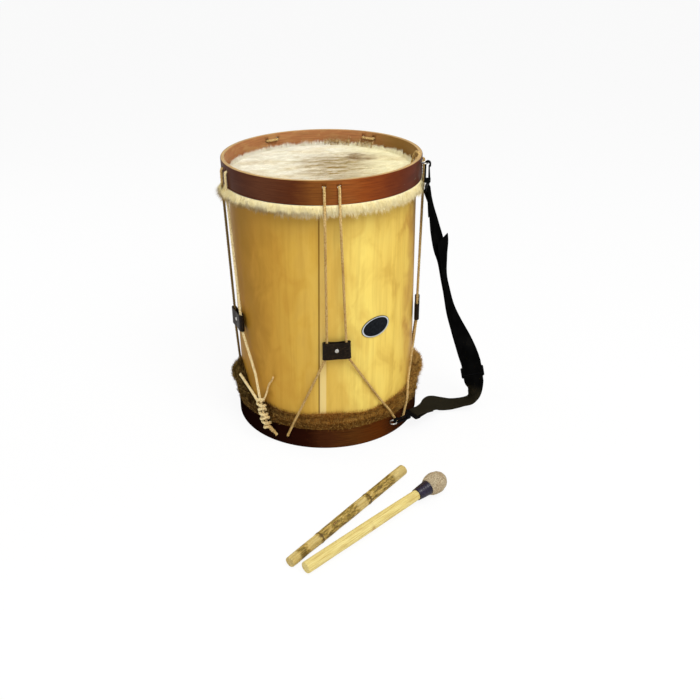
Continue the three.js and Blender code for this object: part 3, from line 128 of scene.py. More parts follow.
lamp("key_lamp", azimuth=-62, elevation=55, distance=2.4, width=1.3, height=1.3, power=36)
lamp("left_lamp", azimuth=-150, elevation=30, distance=2.4, width=1.2, height=1.6, power=3)
lamp("back_lamp", azimuth=150, elevation=35, distance=2.2, width=0.5, height=1.8, power=8)
lamp("right_lamp", azimuth=20, elevation=25, distance=2.4, width=0.8, height=1.4, power=3)

world = bpy.data.worlds.new("studio")
bpy.context.scene.world = world
world.use_nodes = True
sky = world.node_tree
sky.nodes.clear()
rays = node(sky, "ShaderNodeLightPath")
seen = calc(sky, "MAXIMUM", rays.outputs["Is Camera Ray"], rays.outputs["Is Glossy Ray"])
seen = calc(sky, "MAXIMUM", seen, rays.outputs["Is Transmission Ray"])
strength = node(sky, "ShaderNodeMapRange", {"Value": seen, "To Min": AMBIENT, "To Max": BACKDROP})
air = node(sky, "ShaderNodeBackground", {"Color": linear("ffffff"), "Strength": strength.outputs[0]})
node(sky, "ShaderNodeOutputWorld", {"Surface": air.outputs[0]})

floor_mesh = bpy.data.meshes.new("floor")
floor_corners = [(FLOOR_HALF * a, FLOOR_HALF * b, -FLOOR_DEPTH) for a, b in SQUARE_CORNERS]
floor_mesh.from_pydata(floor_corners, [], [(0, 1, 2, 3)])
floor = placed("floor", floor_mesh)
paper = bpy.data.materials.new("white_paper")
paper.use_nodes = True
tree = paper.node_tree
tree.nodes.clear()
rays = node(tree, "ShaderNodeLightPath")
matt = node(tree, "ShaderNodeBsdfDiffuse", {"Color": linear("fbfbfb")})
glow = node(tree, "ShaderNodeEmission", {"Color": linear("ffffff"), "Strength": 1})
seen = calc(tree, "MULTIPLY", rays.outputs["Is Camera Ray"], FLOOR_GLOW)
mixed = node(tree, "ShaderNodeMixShader", {0: seen, 1: matt.outputs[0], 2: glow.outputs[0]})
node(tree, "ShaderNodeOutputMaterial", {"Surface": mixed.outputs[0]})
floor.data.materials.append(paper)


# Shell: one thin board of pale wood, bent round, glued along a slanted seam and varnished.
# The grain stands upright; the board is browner on the left of the seam and golden on the right, under
# painted light and shade.
SHELL_OUTER = 165.5 * MM
SHELL_INNER = 159.5 * MM
SHELL_LOW, SHELL_HIGH = 29.5 * MM, 470.5 * MM
SEAM_AZIMUTH_LOW, SEAM_AZIMUTH_HIGH = -96.8, -92.9
SEAM_HALF, SEAM_LIP, SEAM_DEPTH = 0.6 * MM, 0.9 * MM, 0.25 * MM
SHELL_COLUMNS, SHELL_ROWS = 240, 12
MERGE_REACH, THINNEST_EDGE = 1e-6, 1e-7


def around(azimuth, radius, z):
    """A point at an azimuth in degrees and a radius about the drum's axis. Each may be an array."""
    turn = np.radians(azimuth)
    x, y = AXIS.x + radius * np.cos(turn), AXIS.y + radius * np.sin(turn)
    return np.stack(np.broadcast_arrays(x, y, z), -1)


def finished(name, mesh, sharp=35):
    """An object of the mesh, with its doubles merged, its faces outwards and its smooth faces smooth."""
    form = bmesh.new()
    form.from_mesh(mesh)
    bmesh.ops.remove_doubles(form, verts=form.verts, dist=MERGE_REACH)
    bmesh.ops.dissolve_degenerate(form, edges=form.edges, dist=THINNEST_EDGE)
    bmesh.ops.recalc_face_normals(form, faces=form.faces)
    form.to_mesh(mesh)
    form.free()
    mesh.polygons.foreach_set("use_smooth", [True] * len(mesh.polygons))
    mesh.set_sharp_from_angle(angle=math.radians(sharp))
    return placed(name, mesh)


def skin(name, points, uv=None, loop_rows=False, loop_columns=True, sharp=35):
    """A closed mesh through rows of points. uv gives the places of the columns and of the rows."""
    points = np.asarray(points, float)
    rows, columns = points.shape[:2]
    row_count = rows if loop_rows else rows - 1
    column_count = columns if loop_columns else columns - 1
    grid = np.meshgrid(np.arange(row_count), np.arange(column_count), indexing="ij")
    i, j = grid[0].ravel(), grid[1].ravel()
    below, beside = (i + 1) % rows, (j + 1) % columns
    here, under = i * columns, below * columns
    faces = np.stack([here + j, here + beside, under + beside, under + j], 1).tolist()
    ends = 0
    if not loop_rows and loop_columns:
        faces.append(list(range(columns))[::-1])
        faces.append(list(range((rows - 1) * columns, rows * columns)))
        ends = 2 * columns
    mesh = bpy.data.meshes.new(name)
    mesh.from_pydata(points.reshape(-1, 3), [], faces)
    if uv is not None:
        u, v = np.asarray(uv[0], float), np.asarray(uv[1], float)
        layer = mesh.uv_layers.new(name="UVMap")
        corners = np.stack([u[j], v[i], u[j + 1], v[i], u[j + 1], v[i + 1], u[j], v[i + 1]], 1).ravel()
        layer.data.foreach_set("uv", np.concatenate([corners, np.zeros(2 * ends)]))
    return finished(name, mesh, sharp)


def lathe(name, profile, columns, uv_radius=None, loop_rows=True, sharp=35):
    """A profile of radii and heights turned about the drum's axis, unrolled from the back of the drum."""
    profile = np.asarray(profile, float)
    turn = np.arange(columns) * 360 / columns + 90
    points = around(turn[None, :], profile[:, :1], profile[:, 1:])
    along = np.concatenate([[0], np.cumsum(np.hypot(*np.diff(np.vstack([profile, profile[:1]]), axis=0).T))])
    across = np.radians(np.arange(columns + 1) * 360 / columns) * (uv_radius or profile[:, 0].max())
    return skin(name, points, (across, along), loop_rows=loop_rows, sharp=sharp)


def dressed(piece, material, body, node_name):
    """Gives a piece its material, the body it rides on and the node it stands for."""
    piece.data.materials.append(material)
    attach(piece, body)
    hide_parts(node_name)


def surface(name, roughness, **sockets):
    """A material and its tree, with values on the shader's own sockets where they are given."""
    made = bpy.data.materials.new(name)
    made.use_nodes = True
    shader = made.node_tree.nodes["Principled BSDF"]
    shader.inputs["Roughness"].default_value = roughness
    for key, value in sockets.items():
        shader.inputs[key.replace("_", " ").title().replace("Ior", "IOR")].default_value = value
    return made, made.node_tree


def grain(tree, vector, sizes, detail=3, rough=0.5, distortion=0):
    """Noise whose spots are as long as the three sizes, in metres."""
    mapped = node(tree, "ShaderNodeMapping", {"Vector": vector, "Scale": [1 / size for size in sizes]})
    return node(tree, "ShaderNodeTexNoise", {
        "Vector": mapped.outputs[0], "Scale": 1, "Detail": detail, "Roughness": rough,
        "Distortion": distortion}).outputs["Fac"]


def ramp(tree, factor, stops):
    """A colour for each value of the factor, between stops of a value and a colour."""
    made = node(tree, "ShaderNodeValToRGB", {"Fac": factor})
    elements = made.color_ramp.elements
    elements[0].position, elements[1].position = stops[0][0], stops[-1][0]
    elements[0].color, elements[1].color = linear(stops[0][1]), linear(stops[-1][1])
    for place, colour in stops[1:-1]:
        elements.new(place).color = linear(colour)
    return made.outputs["Color"]


def between(tree, value, low, high, out_low=0, out_high=1):
    """The value's place between two others, clamped and smoothed."""
    return node(tree, "ShaderNodeMapRange", {
        "Value": value, "From Min": low, "From Max": high, "To Min": out_low, "To Max": out_high
    }, interpolation_type="SMOOTHSTEP").outputs[0]


def mix(tree, factor, first, second, how="MIX"):
    """Two colours, mixed."""
    colour = [linear(c) if isinstance(c, str) else c for c in (first, second)]
    return node(tree, "ShaderNodeMix", {0: factor, 6: colour[0], 7: colour[1]}, data_type="RGBA",
                blend_type=how).outputs[2]


def where(tree, *steps):
    """One where every step is high. A step is a value, its low and high place, and what it gives there."""
    share = between(tree, *steps[0])
    for step in steps[1:]:
        share = calc(tree, "MULTIPLY", share, between(tree, *step))
    return share


def tinted(tree, colour, tints):
    """The colour with each tint laid over it. A tint is its colour and the steps that say where it lies."""
    for tint, *steps in tints:
        colour = mix(tree, where(tree, *steps), colour, tint)
    return colour


def strayed(tree, value, noise_value, amount):
    """A value that the noise pushes to and fro."""
    return calc(tree, "MULTIPLY_ADD", calc(tree, "SUBTRACT", noise_value, 0.5), amount, value)


def share_across(tree, value, reach):
    """The value's share of the way from minus the reach to the reach."""
    return node(tree, "ShaderNodeMapRange", {
        "Value": value, "From Min": -reach, "From Max": reach}).outputs[0]


def paint(tree, colour):
    """Gives the surface its colour."""
    tree.links.new(colour, tree.nodes["Principled BSDF"].inputs["Base Color"])


def bump(tree, height, distance, strength=1):
    """A fine relief on the surface, as deep as the distance in metres."""
    made = node(tree, "ShaderNodeBump", {"Height": height, "Distance": distance, "Strength": strength})
    tree.links.new(made.outputs[0], tree.nodes["Principled BSDF"].inputs["Normal"])


def split(tree, vector):
    """A vector's three parts, by the names X, Y and Z."""
    return node(tree, "ShaderNodeSeparateXYZ", {0: vector}).outputs


def uv_of(tree):
    """The place on a piece's own unrolled surface."""
    return node(tree, "ShaderNodeTexCoord").outputs["UV"]


def object_place(tree):
    """The place on a piece, in metres."""
    return node(tree, "ShaderNodeTexCoord").outputs["Object"]


seam_columns = np.array([-SEAM_LIP, -SEAM_HALF, SEAM_HALF, SEAM_LIP])
plain_columns = np.linspace(-math.pi, math.pi, SHELL_COLUMNS, endpoint=False) * SHELL_OUTER
plain_columns = plain_columns[np.abs(plain_columns) > 2 * SEAM_HALF]
shell_arcs = np.sort(np.concatenate([seam_columns, plain_columns]))
groove = np.where(np.abs(shell_arcs) < (SEAM_HALF + SEAM_LIP) / 2, SEAM_DEPTH, 0)
shell_heights = np.linspace(SHELL_LOW, SHELL_HIGH, SHELL_ROWS)
shell_points = []
for radius, heights in ((SHELL_OUTER, shell_heights), (SHELL_INNER, shell_heights[::-1])):
    for z in heights:
        slant = (z - SHELL_LOW) / (SHELL_HIGH - SHELL_LOW)
        seam = SEAM_AZIMUTH_LOW + (SEAM_AZIMUTH_HIGH - SEAM_AZIMUTH_LOW) * slant
        depth = groove if radius == SHELL_OUTER else 0
        shell_points.append(around(seam + np.degrees(shell_arcs / SHELL_OUTER), radius - depth, z))
shell_uv = (np.append(shell_arcs, math.pi * SHELL_OUTER),
            np.concatenate([shell_heights, shell_heights[::-1], shell_heights[:1]]))
shell = skin("shell_board", shell_points, shell_uv, loop_rows=True)

varnish, tree = surface("varnished_board", 0.45, specular_ior_level=0.05)
board = uv_of(tree)
arc, height = split(tree, board)["X"], split(tree, board)["Y"]
fine = grain(tree, board, (0.0018, 0.07, 1), detail=4, rough=0.65)
streak = grain(tree, board, (0.012, 0.22, 1), detail=3, rough=0.55, distortion=0.5)
cloud = grain(tree, board, (0.04, 0.07, 1), detail=3, rough=0.5, distortion=0.6)
from_seam = calc(tree, "ABSOLUTE", arc)
across_board = share_across(tree, strayed(tree, arc, cloud, 0.16), 0.3)
# Partly the board's own tone and partly painted light: brightest right of the front where the key lamp falls,
# with painted shade towards the left and the back.
base = ramp(tree, across_board, [
    (0, "b98d42"), (0.18, "9a7022"), (0.28, "aa7c2a"), (0.36, "c6963a"), (0.43, "d2a745"), (0.54, "dfba58"),
    (0.615, "f2d76e"), (0.69, "f0d167"), (0.77, "e8c65c"), (0.84, "d4a849"), (0.91, "bd8f3b"), (1, "b98d42")])
paint(tree, tinted(tree, base, [
    ("ab7629", (streak, 0.42, 0.68, 0, 0.2)), ("8f5f22", (fine, 0.45, 0.75, 0, 0.07)),
    # Darker towards the top of the board, by height: painted shadow of the fringe and the upper hoop.
    ("ab7527", (cloud, 0.5, 0.7, 0, 0.24)), ("a17a36", (height, 0.36, 0.45, 0, 0.42)),
    ("f2dfa0", (arc, 0.0004, 0.0014), (arc, 0.0116, 0.0136, 1, 0), (height, 0.12, 0.26, 0.55, 0.12)),
    # Dark band along the seam: the glue line together with painted shadow of the overlapping board's edge.
    ("6a4714", (from_seam, SEAM_HALF, SEAM_HALF * 3.5, 0.75, 0))]))
bump(tree, fine, 0.00006, 0.3)
dressed(shell, varnish, "drum", "shell")


# Rings inside the drum: two glued wooden rings that carry the bearing edges, and two flesh hoops that the
# wet hides are tucked round. Plain unvarnished wood, with its grain running round them.
inner_wood, tree = surface("plain_ring_wood", 0.7, specular_ior_level=0.2)
spot = object_place(tree)
strips = grain(tree, spot, (0.06, 0.06, 0.0012), detail=4, rough=0.6)
paint(tree, ramp(tree, strips, [(0.3, "8a6234"), (0.5, "b98f52"), (0.75, "cfa969")]))
bump(tree, strips, 0.0001, 0.5)
for name in ("top_reinforcing_ring", "bottom_reinforcing_ring", "top_flesh_hoop", "bottom_flesh_hoop"):
    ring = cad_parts[name]
    ring.data.materials.clear()
    ring.data.materials.append(inner_wood)


# Hoops: two broad bands of bent wood with eased edges, stained red-brown outside under painted light and
# shade, bare on the upper edge and drilled in five pairs for the rope. They press the hides down over the
# shell's ends.
HOOP_OUTER, HOOP_INNER, HOOP_WIDTH = 175 * MM, 167.5 * MM, 40 * MM
HOOP_EASE = 1.6 * MM
HOOP_COLUMNS = 192
DRUM_HEIGHT = 500 * MM
HOLE_RADIUS, HOLE_SIDES, HOLE_OVERRUN = 3.5 * MM, 20, 4 * MM
EYE_HOLE_RADIUS = 1.5 * MM
UPPER_HOLE_Z, LOWER_HOLE_Z = 489 * MM, 20 * MM
UPPER_HOLE_HALF_ANGLE = 3.9
TENSIONERS = {"left": -159.5, "front": -86, "right": -8, "back_right": 57, "back_left": 123}
LOWER_PAIRS = {"front_left": (-121, 5), "front_right": (-41.5, 2.9), "back_right": (24.5, 3.9),
               "back": (90, 3.9), "back_left": (161, 3.9)}
UPPER_EYE_AZIMUTH, UPPER_EYE_Z = -16.5, 491 * MM
LOWER_EYE_AZIMUTH, LOWER_EYE_Z = -49.8, 29 * MM


def eased(inner, outer, low, high, ease, steps=4):
    """A ring's profile with its four corners eased."""
    corners = ((outer - ease, low + ease, -90), (outer - ease, high - ease, 0),
               (inner + ease, high - ease, 90), (inner + ease, low + ease, 180))
    profile = []
    for r, z, start in corners:
        for k in range(steps + 1):
            turn = math.radians(start + 90 * k / steps)
            profile.append((r + ease * math.cos(turn), z + ease * math.sin(turn)))
    return profile


def rod(start, end, radius, sides):
    """A plain round rod between two points, as rows of points."""
    start, end = Vector(start), Vector(end)
    turned = (end - start).to_track_quat("Z", "Y").to_matrix()
    ring = [turned @ Vector((radius * math.cos(t), radius * math.sin(t), 0))
            for t in np.linspace(0, 2 * math.pi, sides, endpoint=False)]
    return [[start + p for p in ring], [end + p for p in ring]]


def drilled(piece, holes, z, radius):
    """The piece with round holes through it towards the drum's axis."""
    for azimuth in holes:
        ends = [around(azimuth, r, z) for r in (HOOP_INNER - HOLE_OVERRUN, HOOP_OUTER + HOLE_OVERRUN)]
        bit = skin("drill_bit", rod(*ends, radius, HOLE_SIDES))
        cut = piece.modifiers.new("hole", "BOOLEAN")
        cut.object = bit
        cut.solver = "EXACT"
        bpy.context.view_layer.objects.active = piece
        bpy.ops.object.modifier_apply(modifier=cut.name)
        bpy.data.objects.remove(bit)


def about_axis(tree):
    """The place on a piece from the drum's axis and the floor, by the names X, Y and Z."""
    away = node(tree, "ShaderNodeVectorMath", {0: object_place(tree), 1: AXIS}, operation="SUBTRACT")
    return split(tree, away.outputs[0])


def hoop_stain(name, shine, outer_stain_and_light_stops, shadow, edge, inside):
    """Stained outside, with painted light and shade across the front in the outside's colours, bare wood on
    the top edge and a duller stain inside, told apart by where they face.
    """
    made, tree = surface(name, 0.4, specular_ior_level=shine)
    band, spot = uv_of(tree), about_axis(tree)
    facing = split(tree, node(tree, "ShaderNodeNewGeometry").outputs["Normal"])
    outwards = calc(tree, "ADD", calc(tree, "MULTIPLY", spot["X"], facing["X"]),
                    calc(tree, "MULTIPLY", spot["Y"], facing["Y"]))
    fibre = grain(tree, band, (0.05, 0.0012, 1), detail=4, rough=0.6)
    patch = grain(tree, band, (0.03, 0.012, 1), detail=3)
    sideways = share_across(tree, strayed(tree, spot["X"], patch, 0.05), HOOP_OUTER)
    # The outside's colours across the front hold painted light and shade as well as the stain.
    outer = tinted(tree, ramp(tree, sideways, outer_stain_and_light_stops), [(shadow, (fibre, 0.42, 0.7, 0, 0.5))])
    bare = tinted(tree, edge, [(shadow, (fibre, 0.4, 0.7, 0, 0.6))])
    dull = tinted(tree, inside, [
        (shadow, (fibre, 0.4, 0.7, 0, 0.35)), (edge, (patch, 0.45, 0.7, 0, 0.4)),
        ("8a6530", (spot["X"], 0.06, 0.15))])
    paint(tree, tinted(tree, dull, [
        (outer, (outwards, -0.02, 0.02)), (bare, (facing["Z"], 0.75, 0.95))]))
    bump(tree, fibre, 0.00015, 0.6)
    return made


def hoop(name, low, stain, holes, hole_z, eye_azimuth, eye_z):
    """A hoop above a height, drilled for the rope and for its strap eye."""
    profile = eased(HOOP_INNER, HOOP_OUTER, low, low + HOOP_WIDTH, HOOP_EASE)
    made = lathe(name, profile, HOOP_COLUMNS)
    drilled(made, holes, hole_z, HOLE_RADIUS)
    drilled(made, [eye_azimuth], eye_z, EYE_HOLE_RADIUS)
    made.data.materials.clear()
    dressed(made, stain, "drum", name.replace("_band", ""))


upper_holes = [azimuth + side * UPPER_HOLE_HALF_ANGLE for azimuth in TENSIONERS.values() for side in (-1, 1)]
lower_holes = [azimuth + side * half for azimuth, half in LOWER_PAIRS.values() for side in (-1, 1)]
# Upper hoop: painted shade at the left and the right, and a painted highlight right of the middle where the
# key lamp falls.
upper_stain_and_light = hoop_stain("upper_hoop_stain_and_light", 0.05, [
    (0, "4c2619"), (0.1, "4c2717"), (0.22, "603722"), (0.36, "592c14"), (0.5, "86501f"), (0.6, "965424"),
    (0.68, "8b4518"), (0.76, "7a3816"), (0.86, "632b12"), (0.93, "5a2714"), (1, "3c1d0d")], "3a180b",
    "c4a066", "b47a4e")
# Lower hoop: stain under painted shade. It is near black at the left and darker overall because it lies less
# lit, under the collar's shadow, with a painted highlight right of the middle.
lower_stain_and_shade = hoop_stain("lower_hoop_stain_and_shade", 0, [
    (0, "0d0504"), (0.22, "1d0a06"), (0.38, "280f07"), (0.5, "4b2813"), (0.62, "5a3414"), (0.75, "5a2c0d"),
    (0.87, "41200d"), (1, "26140a")], "1c0a05", "8c5c38", "7a4526")
hoop("top_hoop_band", DRUM_HEIGHT - HOOP_WIDTH, upper_stain_and_light, upper_holes, UPPER_HOLE_Z, UPPER_EYE_AZIMUTH,
     UPPER_EYE_Z)
hoop("bottom_hoop_band", 0, lower_stain_and_shade, lower_holes, LOWER_HOLE_Z, LOWER_EYE_AZIMUTH, LOWER_EYE_Z)


# Hides: each is a goat skin laid over the shell's end, carried down inside the hoop and tucked round its
# flesh hoop. The upper one keeps its hair, which lies flat and is combed across the drum.
HIDE_THICKNESS, FIT_GAP = 1.2 * MM, 0.3 * MM
RIM_TO_HIDE = 28 * MM
FLESH_HOOP_WALL, FLESH_HOOP_HEIGHT = 5.9 * MM, 10.2 * MM
HIDE_COLUMNS = 144
SKIRT_INNER = SHELL_OUTER + FIT_GAP
SKIRT_OUTER = SKIRT_INNER + HIDE_THICKNESS
WRAP_OUTER = SKIRT_INNER + FIT_GAP + FLESH_HOOP_WALL + FIT_GAP + HIDE_THICKNESS
WRAP_HEIGHT = HIDE_THICKNESS + FIT_GAP + FLESH_HOOP_HEIGHT + FIT_GAP + HIDE_THICKNESS


def hide_profile(face, hoop_edge, up):
    """A hide's profile: its face, its skirt down the shell and its tuck round the flesh hoop."""
    under = face - up * HIDE_THICKNESS
    wrap_top = hoop_edge - up * FIT_GAP
    wrap_top_inside = wrap_top - up * HIDE_THICKNESS
    wrap_bottom = wrap_top - up * WRAP_HEIGHT
    wrap_bottom_inside = wrap_bottom + up * HIDE_THICKNESS
    wrap_inner = WRAP_OUTER - HIDE_THICKNESS
    return [
        (0, under), (SKIRT_INNER, under), (SKIRT_INNER, wrap_top_inside), (wrap_inner, wrap_top_inside),
        (wrap_inner, wrap_bottom_inside), (SKIRT_OUTER, wrap_bottom_inside), (SKIRT_OUTER, wrap_bottom),
        (WRAP_OUTER, wrap_bottom), (WRAP_OUTER, wrap_top), (SKIRT_OUTER, wrap_top), (SKIRT_OUTER, face),
        (SKIRT_OUTER - HIDE_THICKNESS, face), (0, face)]


def patches(tree):
    """The coat's colours: cream on the left, olive streaks in the middle, a brown patch behind it."""
    spot, vector = about_axis(tree), object_place(tree)
    combed = grain(tree, vector, (0.045, 0.007, 0.05), detail=4, rough=0.6, distortion=0.5)
    broad = grain(tree, vector, (0.09, 0.05, 0.2), detail=2)
    wander, waver = strayed(tree, spot["X"], combed, 0.07), strayed(tree, spot["X"], combed, 0.03)
    along_y = strayed(tree, spot["Y"], broad, 0.1)
    cream = mix(tree, between(tree, spot["X"], 0, 0.1), "fffdf0", "fffbdc")
    return tinted(tree, cream, [
        ("e6d89a", (combed, 0.5, 0.72, 0, 0.5)), ("d9c07a", (broad, 0.5, 0.7, 0, 0.25)),
        ("a88934", (wander, -0.08, 0.02), (wander, 0.04, 0.12, 1, 0), (along_y, -0.12, -0.02),
         (along_y, 0.02, 0.12, 1, 0), (combed, 0.38, 0.6, 0.25, 1)),
        ("8f6a28", (waver, 0.035, 0.06), (waver, 0.08, 0.11, 1, 0), (along_y, 0.04, 0.068),
         (along_y, 0.068, 0.1, 1, 0), (combed, 0.35, 0.55, 0.3, 1))])


hide_skin, tree = surface("hide_skin", 0.75, specular_ior_level=0.15)
paint(tree, mix(tree, 0.25, patches(tree), "b99a66"))
bump(tree, grain(tree, object_place(tree), (0.004, 0.0012, 0.002)), 0.0006, 0.8)
for name, face, edge, up in (("top_hide", DRUM_HEIGHT - RIM_TO_HIDE, DRUM_HEIGHT - HOOP_WIDTH, 1),
                             ("bottom_hide", RIM_TO_HIDE, HOOP_WIDTH, -1)):
    hide = lathe(f"{name}_skin", hide_profile(face, edge, up), HIDE_COLUMNS, uv_radius=SHELL_OUTER)
    dressed(hide, hide_skin, "drum", name)


def sized_tree(name, sizes):
    """An empty geometry tree whose named inputs are the sizes, and its input and output nodes."""
    tree = bpy.data.node_groups.new(name, "GeometryNodeTree")
    tree.interface.new_socket("Geometry", in_out="OUTPUT", socket_type="NodeSocketGeometry")
    tree.interface.new_socket("Geometry", in_out="INPUT", socket_type="NodeSocketGeometry")
    for size, kind in sizes.items():
        tree.interface.new_socket(size, in_out="INPUT", socket_type=f"NodeSocket{kind}")
    return tree, node(tree, "NodeGroupInput"), node(tree, "NodeGroupOutput")


def grown(name, source, tree, values):
    """A plain mesh object of what the tree makes from the source object, which is removed."""
    modifier = source.modifiers.new(tree.name, "NODES")
    modifier.node_group = tree
    for item in tree.interface.items_tree:
        if item.in_out == "INPUT" and item.name in values:
            modifier[item.identifier] = values[item.name]
    graph = bpy.context.evaluated_depsgraph_get()
    mesh = bpy.data.meshes.new_from_object(source.evaluated_get(graph), depsgraph=graph)
    bpy.data.objects.remove(source)
    mesh.name = name
    return placed(name, mesh)


# One hair is a thin closed spike, a metre long until the tree scales it
hair_mesh = bpy.data.meshes.new("one_hair")
corners = [(math.cos(t), math.sin(t), 0) for t in np.radians((90, 210, 330))]
hair_mesh.from_pydata([*corners, (0.35, 0.35, 1)], [], [(2, 1, 0), (0, 1, 3), (1, 2, 3), (2, 0, 3)])
one_hair = placed("one_hair", hair_mesh)

QUICK_HAIR_SHARE, STRAY_SHARE, TUFT_LEAN = 0.3, 0.6, 4
HAIR_LENGTH_SHARES, FULLNESS_SHARES = (0.6, 1.1), (0.5, 1.3)
HAIR_SIZES = {"Density": "Float", "Seed": "Int", "Length": "Float", "Radius": "Float", "Comb": "Vector",
              "Lift": "Float", "Ruffle": "Float", "Tuft": "Float", "Material": "Material"}
hair_tree, given, grown_out = sized_tree("hair", HAIR_SIZES)


def random_value(kind, low, high, step):
    """A value for each hair, from the coat's seed and a step of its own."""
    first = {"FLOAT_VECTOR": 0, "FLOAT": 2}[kind]
    made = node(hair_tree, "FunctionNodeRandomValue", {first: low, first + 1: high}, data_type=kind)
    hair_tree.links.new(calc(hair_tree, "ADD", given.outputs["Seed"], step), made.inputs["Seed"])
    return made.outputs[0 if kind == "FLOAT_VECTOR" else 1]


def vector_calc(tree, operation, *values):
    """One sum of vectors."""
    return node(tree, "ShaderNodeVectorMath", dict(enumerate(values)), operation=operation).outputs[0]


def scaled(tree, vector, factor):
    """A vector made longer or shorter."""
    return node(tree, "ShaderNodeVectorMath", {0: vector, "Scale": factor}, operation="SCALE").outputs[0]


roots = node(hair_tree, "GeometryNodeDistributePointsOnFaces", {
    "Mesh": given.outputs["Geometry"], "Density": given.outputs["Density"], "Seed": given.outputs["Seed"]},
    distribute_method="RANDOM")
spot = node(hair_tree, "GeometryNodeInputPosition").outputs[0]
tufts = node(hair_tree, "ShaderNodeTexNoise", {
    "Vector": spot, "Scale": calc(hair_tree, "DIVIDE", 1, given.outputs["Tuft"]), "Detail": 2})
leaning = vector_calc(hair_tree, "SUBTRACT", tufts.outputs["Color"], (0.5, 0.5, 0.5))
stray = scaled(hair_tree, random_value("FLOAT_VECTOR", (-1, -1, -1), (1, 1, 1), 1), STRAY_SHARE)
ruffle = vector_calc(hair_tree, "ADD", scaled(hair_tree, leaning, TUFT_LEAN), stray)
ruffle = scaled(hair_tree, ruffle, given.outputs["Ruffle"])
fullness = node(hair_tree, "ShaderNodeMapRange", {
    "Value": tufts.outputs["Fac"], "From Min": 0.3, "From Max": 0.7,
    "To Min": FULLNESS_SHARES[0], "To Max": FULLNESS_SHARES[1]}).outputs[0]
lift = scaled(hair_tree, roots.outputs["Normal"], given.outputs["Lift"])
hair_way = vector_calc(hair_tree, "ADD", given.outputs["Comb"], lift)
hair_way = vector_calc(hair_tree, "ADD", hair_way, ruffle)
turned = node(hair_tree, "FunctionNodeAlignRotationToVector", {"Vector": hair_way}, axis="Z")
reach = calc(hair_tree, "MULTIPLY", given.outputs["Length"], random_value("FLOAT", *HAIR_LENGTH_SHARES, 2))
reach = calc(hair_tree, "MULTIPLY", reach, fullness)
size = node(hair_tree, "ShaderNodeCombineXYZ", {
    "X": given.outputs["Radius"], "Y": given.outputs["Radius"], "Z": reach})
spike = node(hair_tree, "GeometryNodeObjectInfo", {"Object": one_hair})
coat_of_hair = node(hair_tree, "GeometryNodeInstanceOnPoints", {
    "Points": roots.outputs["Points"], "Instance": spike.outputs["Geometry"], "Rotation": turned.outputs[0],
    "Scale": size.outputs[0]})
toned = node(hair_tree, "GeometryNodeStoreNamedAttribute", {
    "Geometry": coat_of_hair.outputs[0], "Name": "tone",
    "Value": random_value("FLOAT", 0, 1, 3)}, data_type="FLOAT", domain="INSTANCE")
loose = node(hair_tree, "GeometryNodeRealizeInstances", {0: toned.outputs[0]})
dyed = node(hair_tree, "GeometryNodeSetMaterial", {
    "Geometry": loose.outputs[0], "Material": given.outputs["Material"]})
hair_tree.links.new(dyed.outputs[0], grown_out.inputs[0])


def attribute(tree, name):
    """A value that the piece itself carries."""
    return node(tree, "ShaderNodeAttribute", attribute_name=name).outputs["Fac"]


def haired(name, ground, slot, node_name, **values):
    """Hair on every face of the ground, which is removed."""
    made = grown(name, ground, hair_tree, values)
    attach(made, "drum")
    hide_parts(node_name)
    return made


def ground_of(piece):
    """A loose copy of a piece for hair to grow on."""
    ground = piece.copy()
    ground.data = piece.data.copy()
    ground.parent = None
    bpy.context.scene.collection.objects.link(ground)
    return ground


def face_up(piece):
    """Turns every face of a flat piece upwards."""
    form = bmesh.new()
    form.from_mesh(piece.data)
    for face in form.faces:
        if face.normal.z < 0:
            face.normal_flip()
    form.to_mesh(piece.data)
    form.free()


def kept_faces(piece, wanted):
    """Only the faces that the test wants, by their middle and normal."""
    form = bmesh.new()
    form.from_mesh(piece.data)
    unwanted = [face for face in form.faces if not wanted(face.calc_center_median(), face.normal)]
    bmesh.ops.delete(form, geom=unwanted, context="FACES")
    form.to_mesh(piece.data)
    form.free()


def azimuth_of(point):
    """A point's azimuth about the drum's axis, in degrees."""
    return math.degrees(math.atan2(point.y - AXIS.y, point.x - AXIS.x))


hair_coat, tree = surface("flat_coat", 0.8, specular_ior_level=0.1)
tone = attribute(tree, "tone")
paint(tree, tinted(tree, patches(tree), [
    ("a98a4c", (tone, 0.55, 1, 0, 0.35)), ("fffbe8", (tone, 0.35, 0, 0, 0.5))]))
face_height = DRUM_HEIGHT - RIM_TO_HIDE
playing_face = lathe("playing_face", [(0, face_height), (HOOP_INNER - MM, face_height)], HIDE_COLUMNS,
                     loop_rows=False)
face_up(playing_face)
haired("top_hide_hair", playing_face, "pale_hair", "top_hide", Density=480000, Seed=3, Length=0.011,
       Radius=0.00024, Comb=(1, 0.12, 0.02), Lift=0.1, Ruffle=0.17, Tuft=0.012, Material=hair_coat)

# Where the hide turns up along the hoop its hair stands up, and some of it is torn loose by the rope
EDGE_HAIR_FROM, EDGE_HAIR_TO = HOOP_INNER - 9 * MM, HOOP_INNER - 2.5 * MM
TORN_PLACES = ((59, 7), (79, 8))
torn_hair, tree = surface("torn_hair", 0.85, specular_ior_level=0.05)
paint(tree, ramp(tree, grain(tree, object_place(tree), (0.004, 0.004, 0.004), detail=3), [
    (0.35, "6e4a24"), (0.5, "c9a868"), (0.65, "f4e6b8")]))
hide_edge = lathe("hide_edge", [(EDGE_HAIR_FROM, face_height), (EDGE_HAIR_TO, face_height)], HIDE_COLUMNS,
                  loop_rows=False)
face_up(hide_edge)
kept_faces(hide_edge, lambda middle, normal: abs(middle.z - DRUM_HEIGHT + RIM_TO_HIDE) < MM
           and math.hypot(middle.x - AXIS.x, middle.y - AXIS.y) > HOOP_INNER / 2)
torn_edge = ground_of(hide_edge)
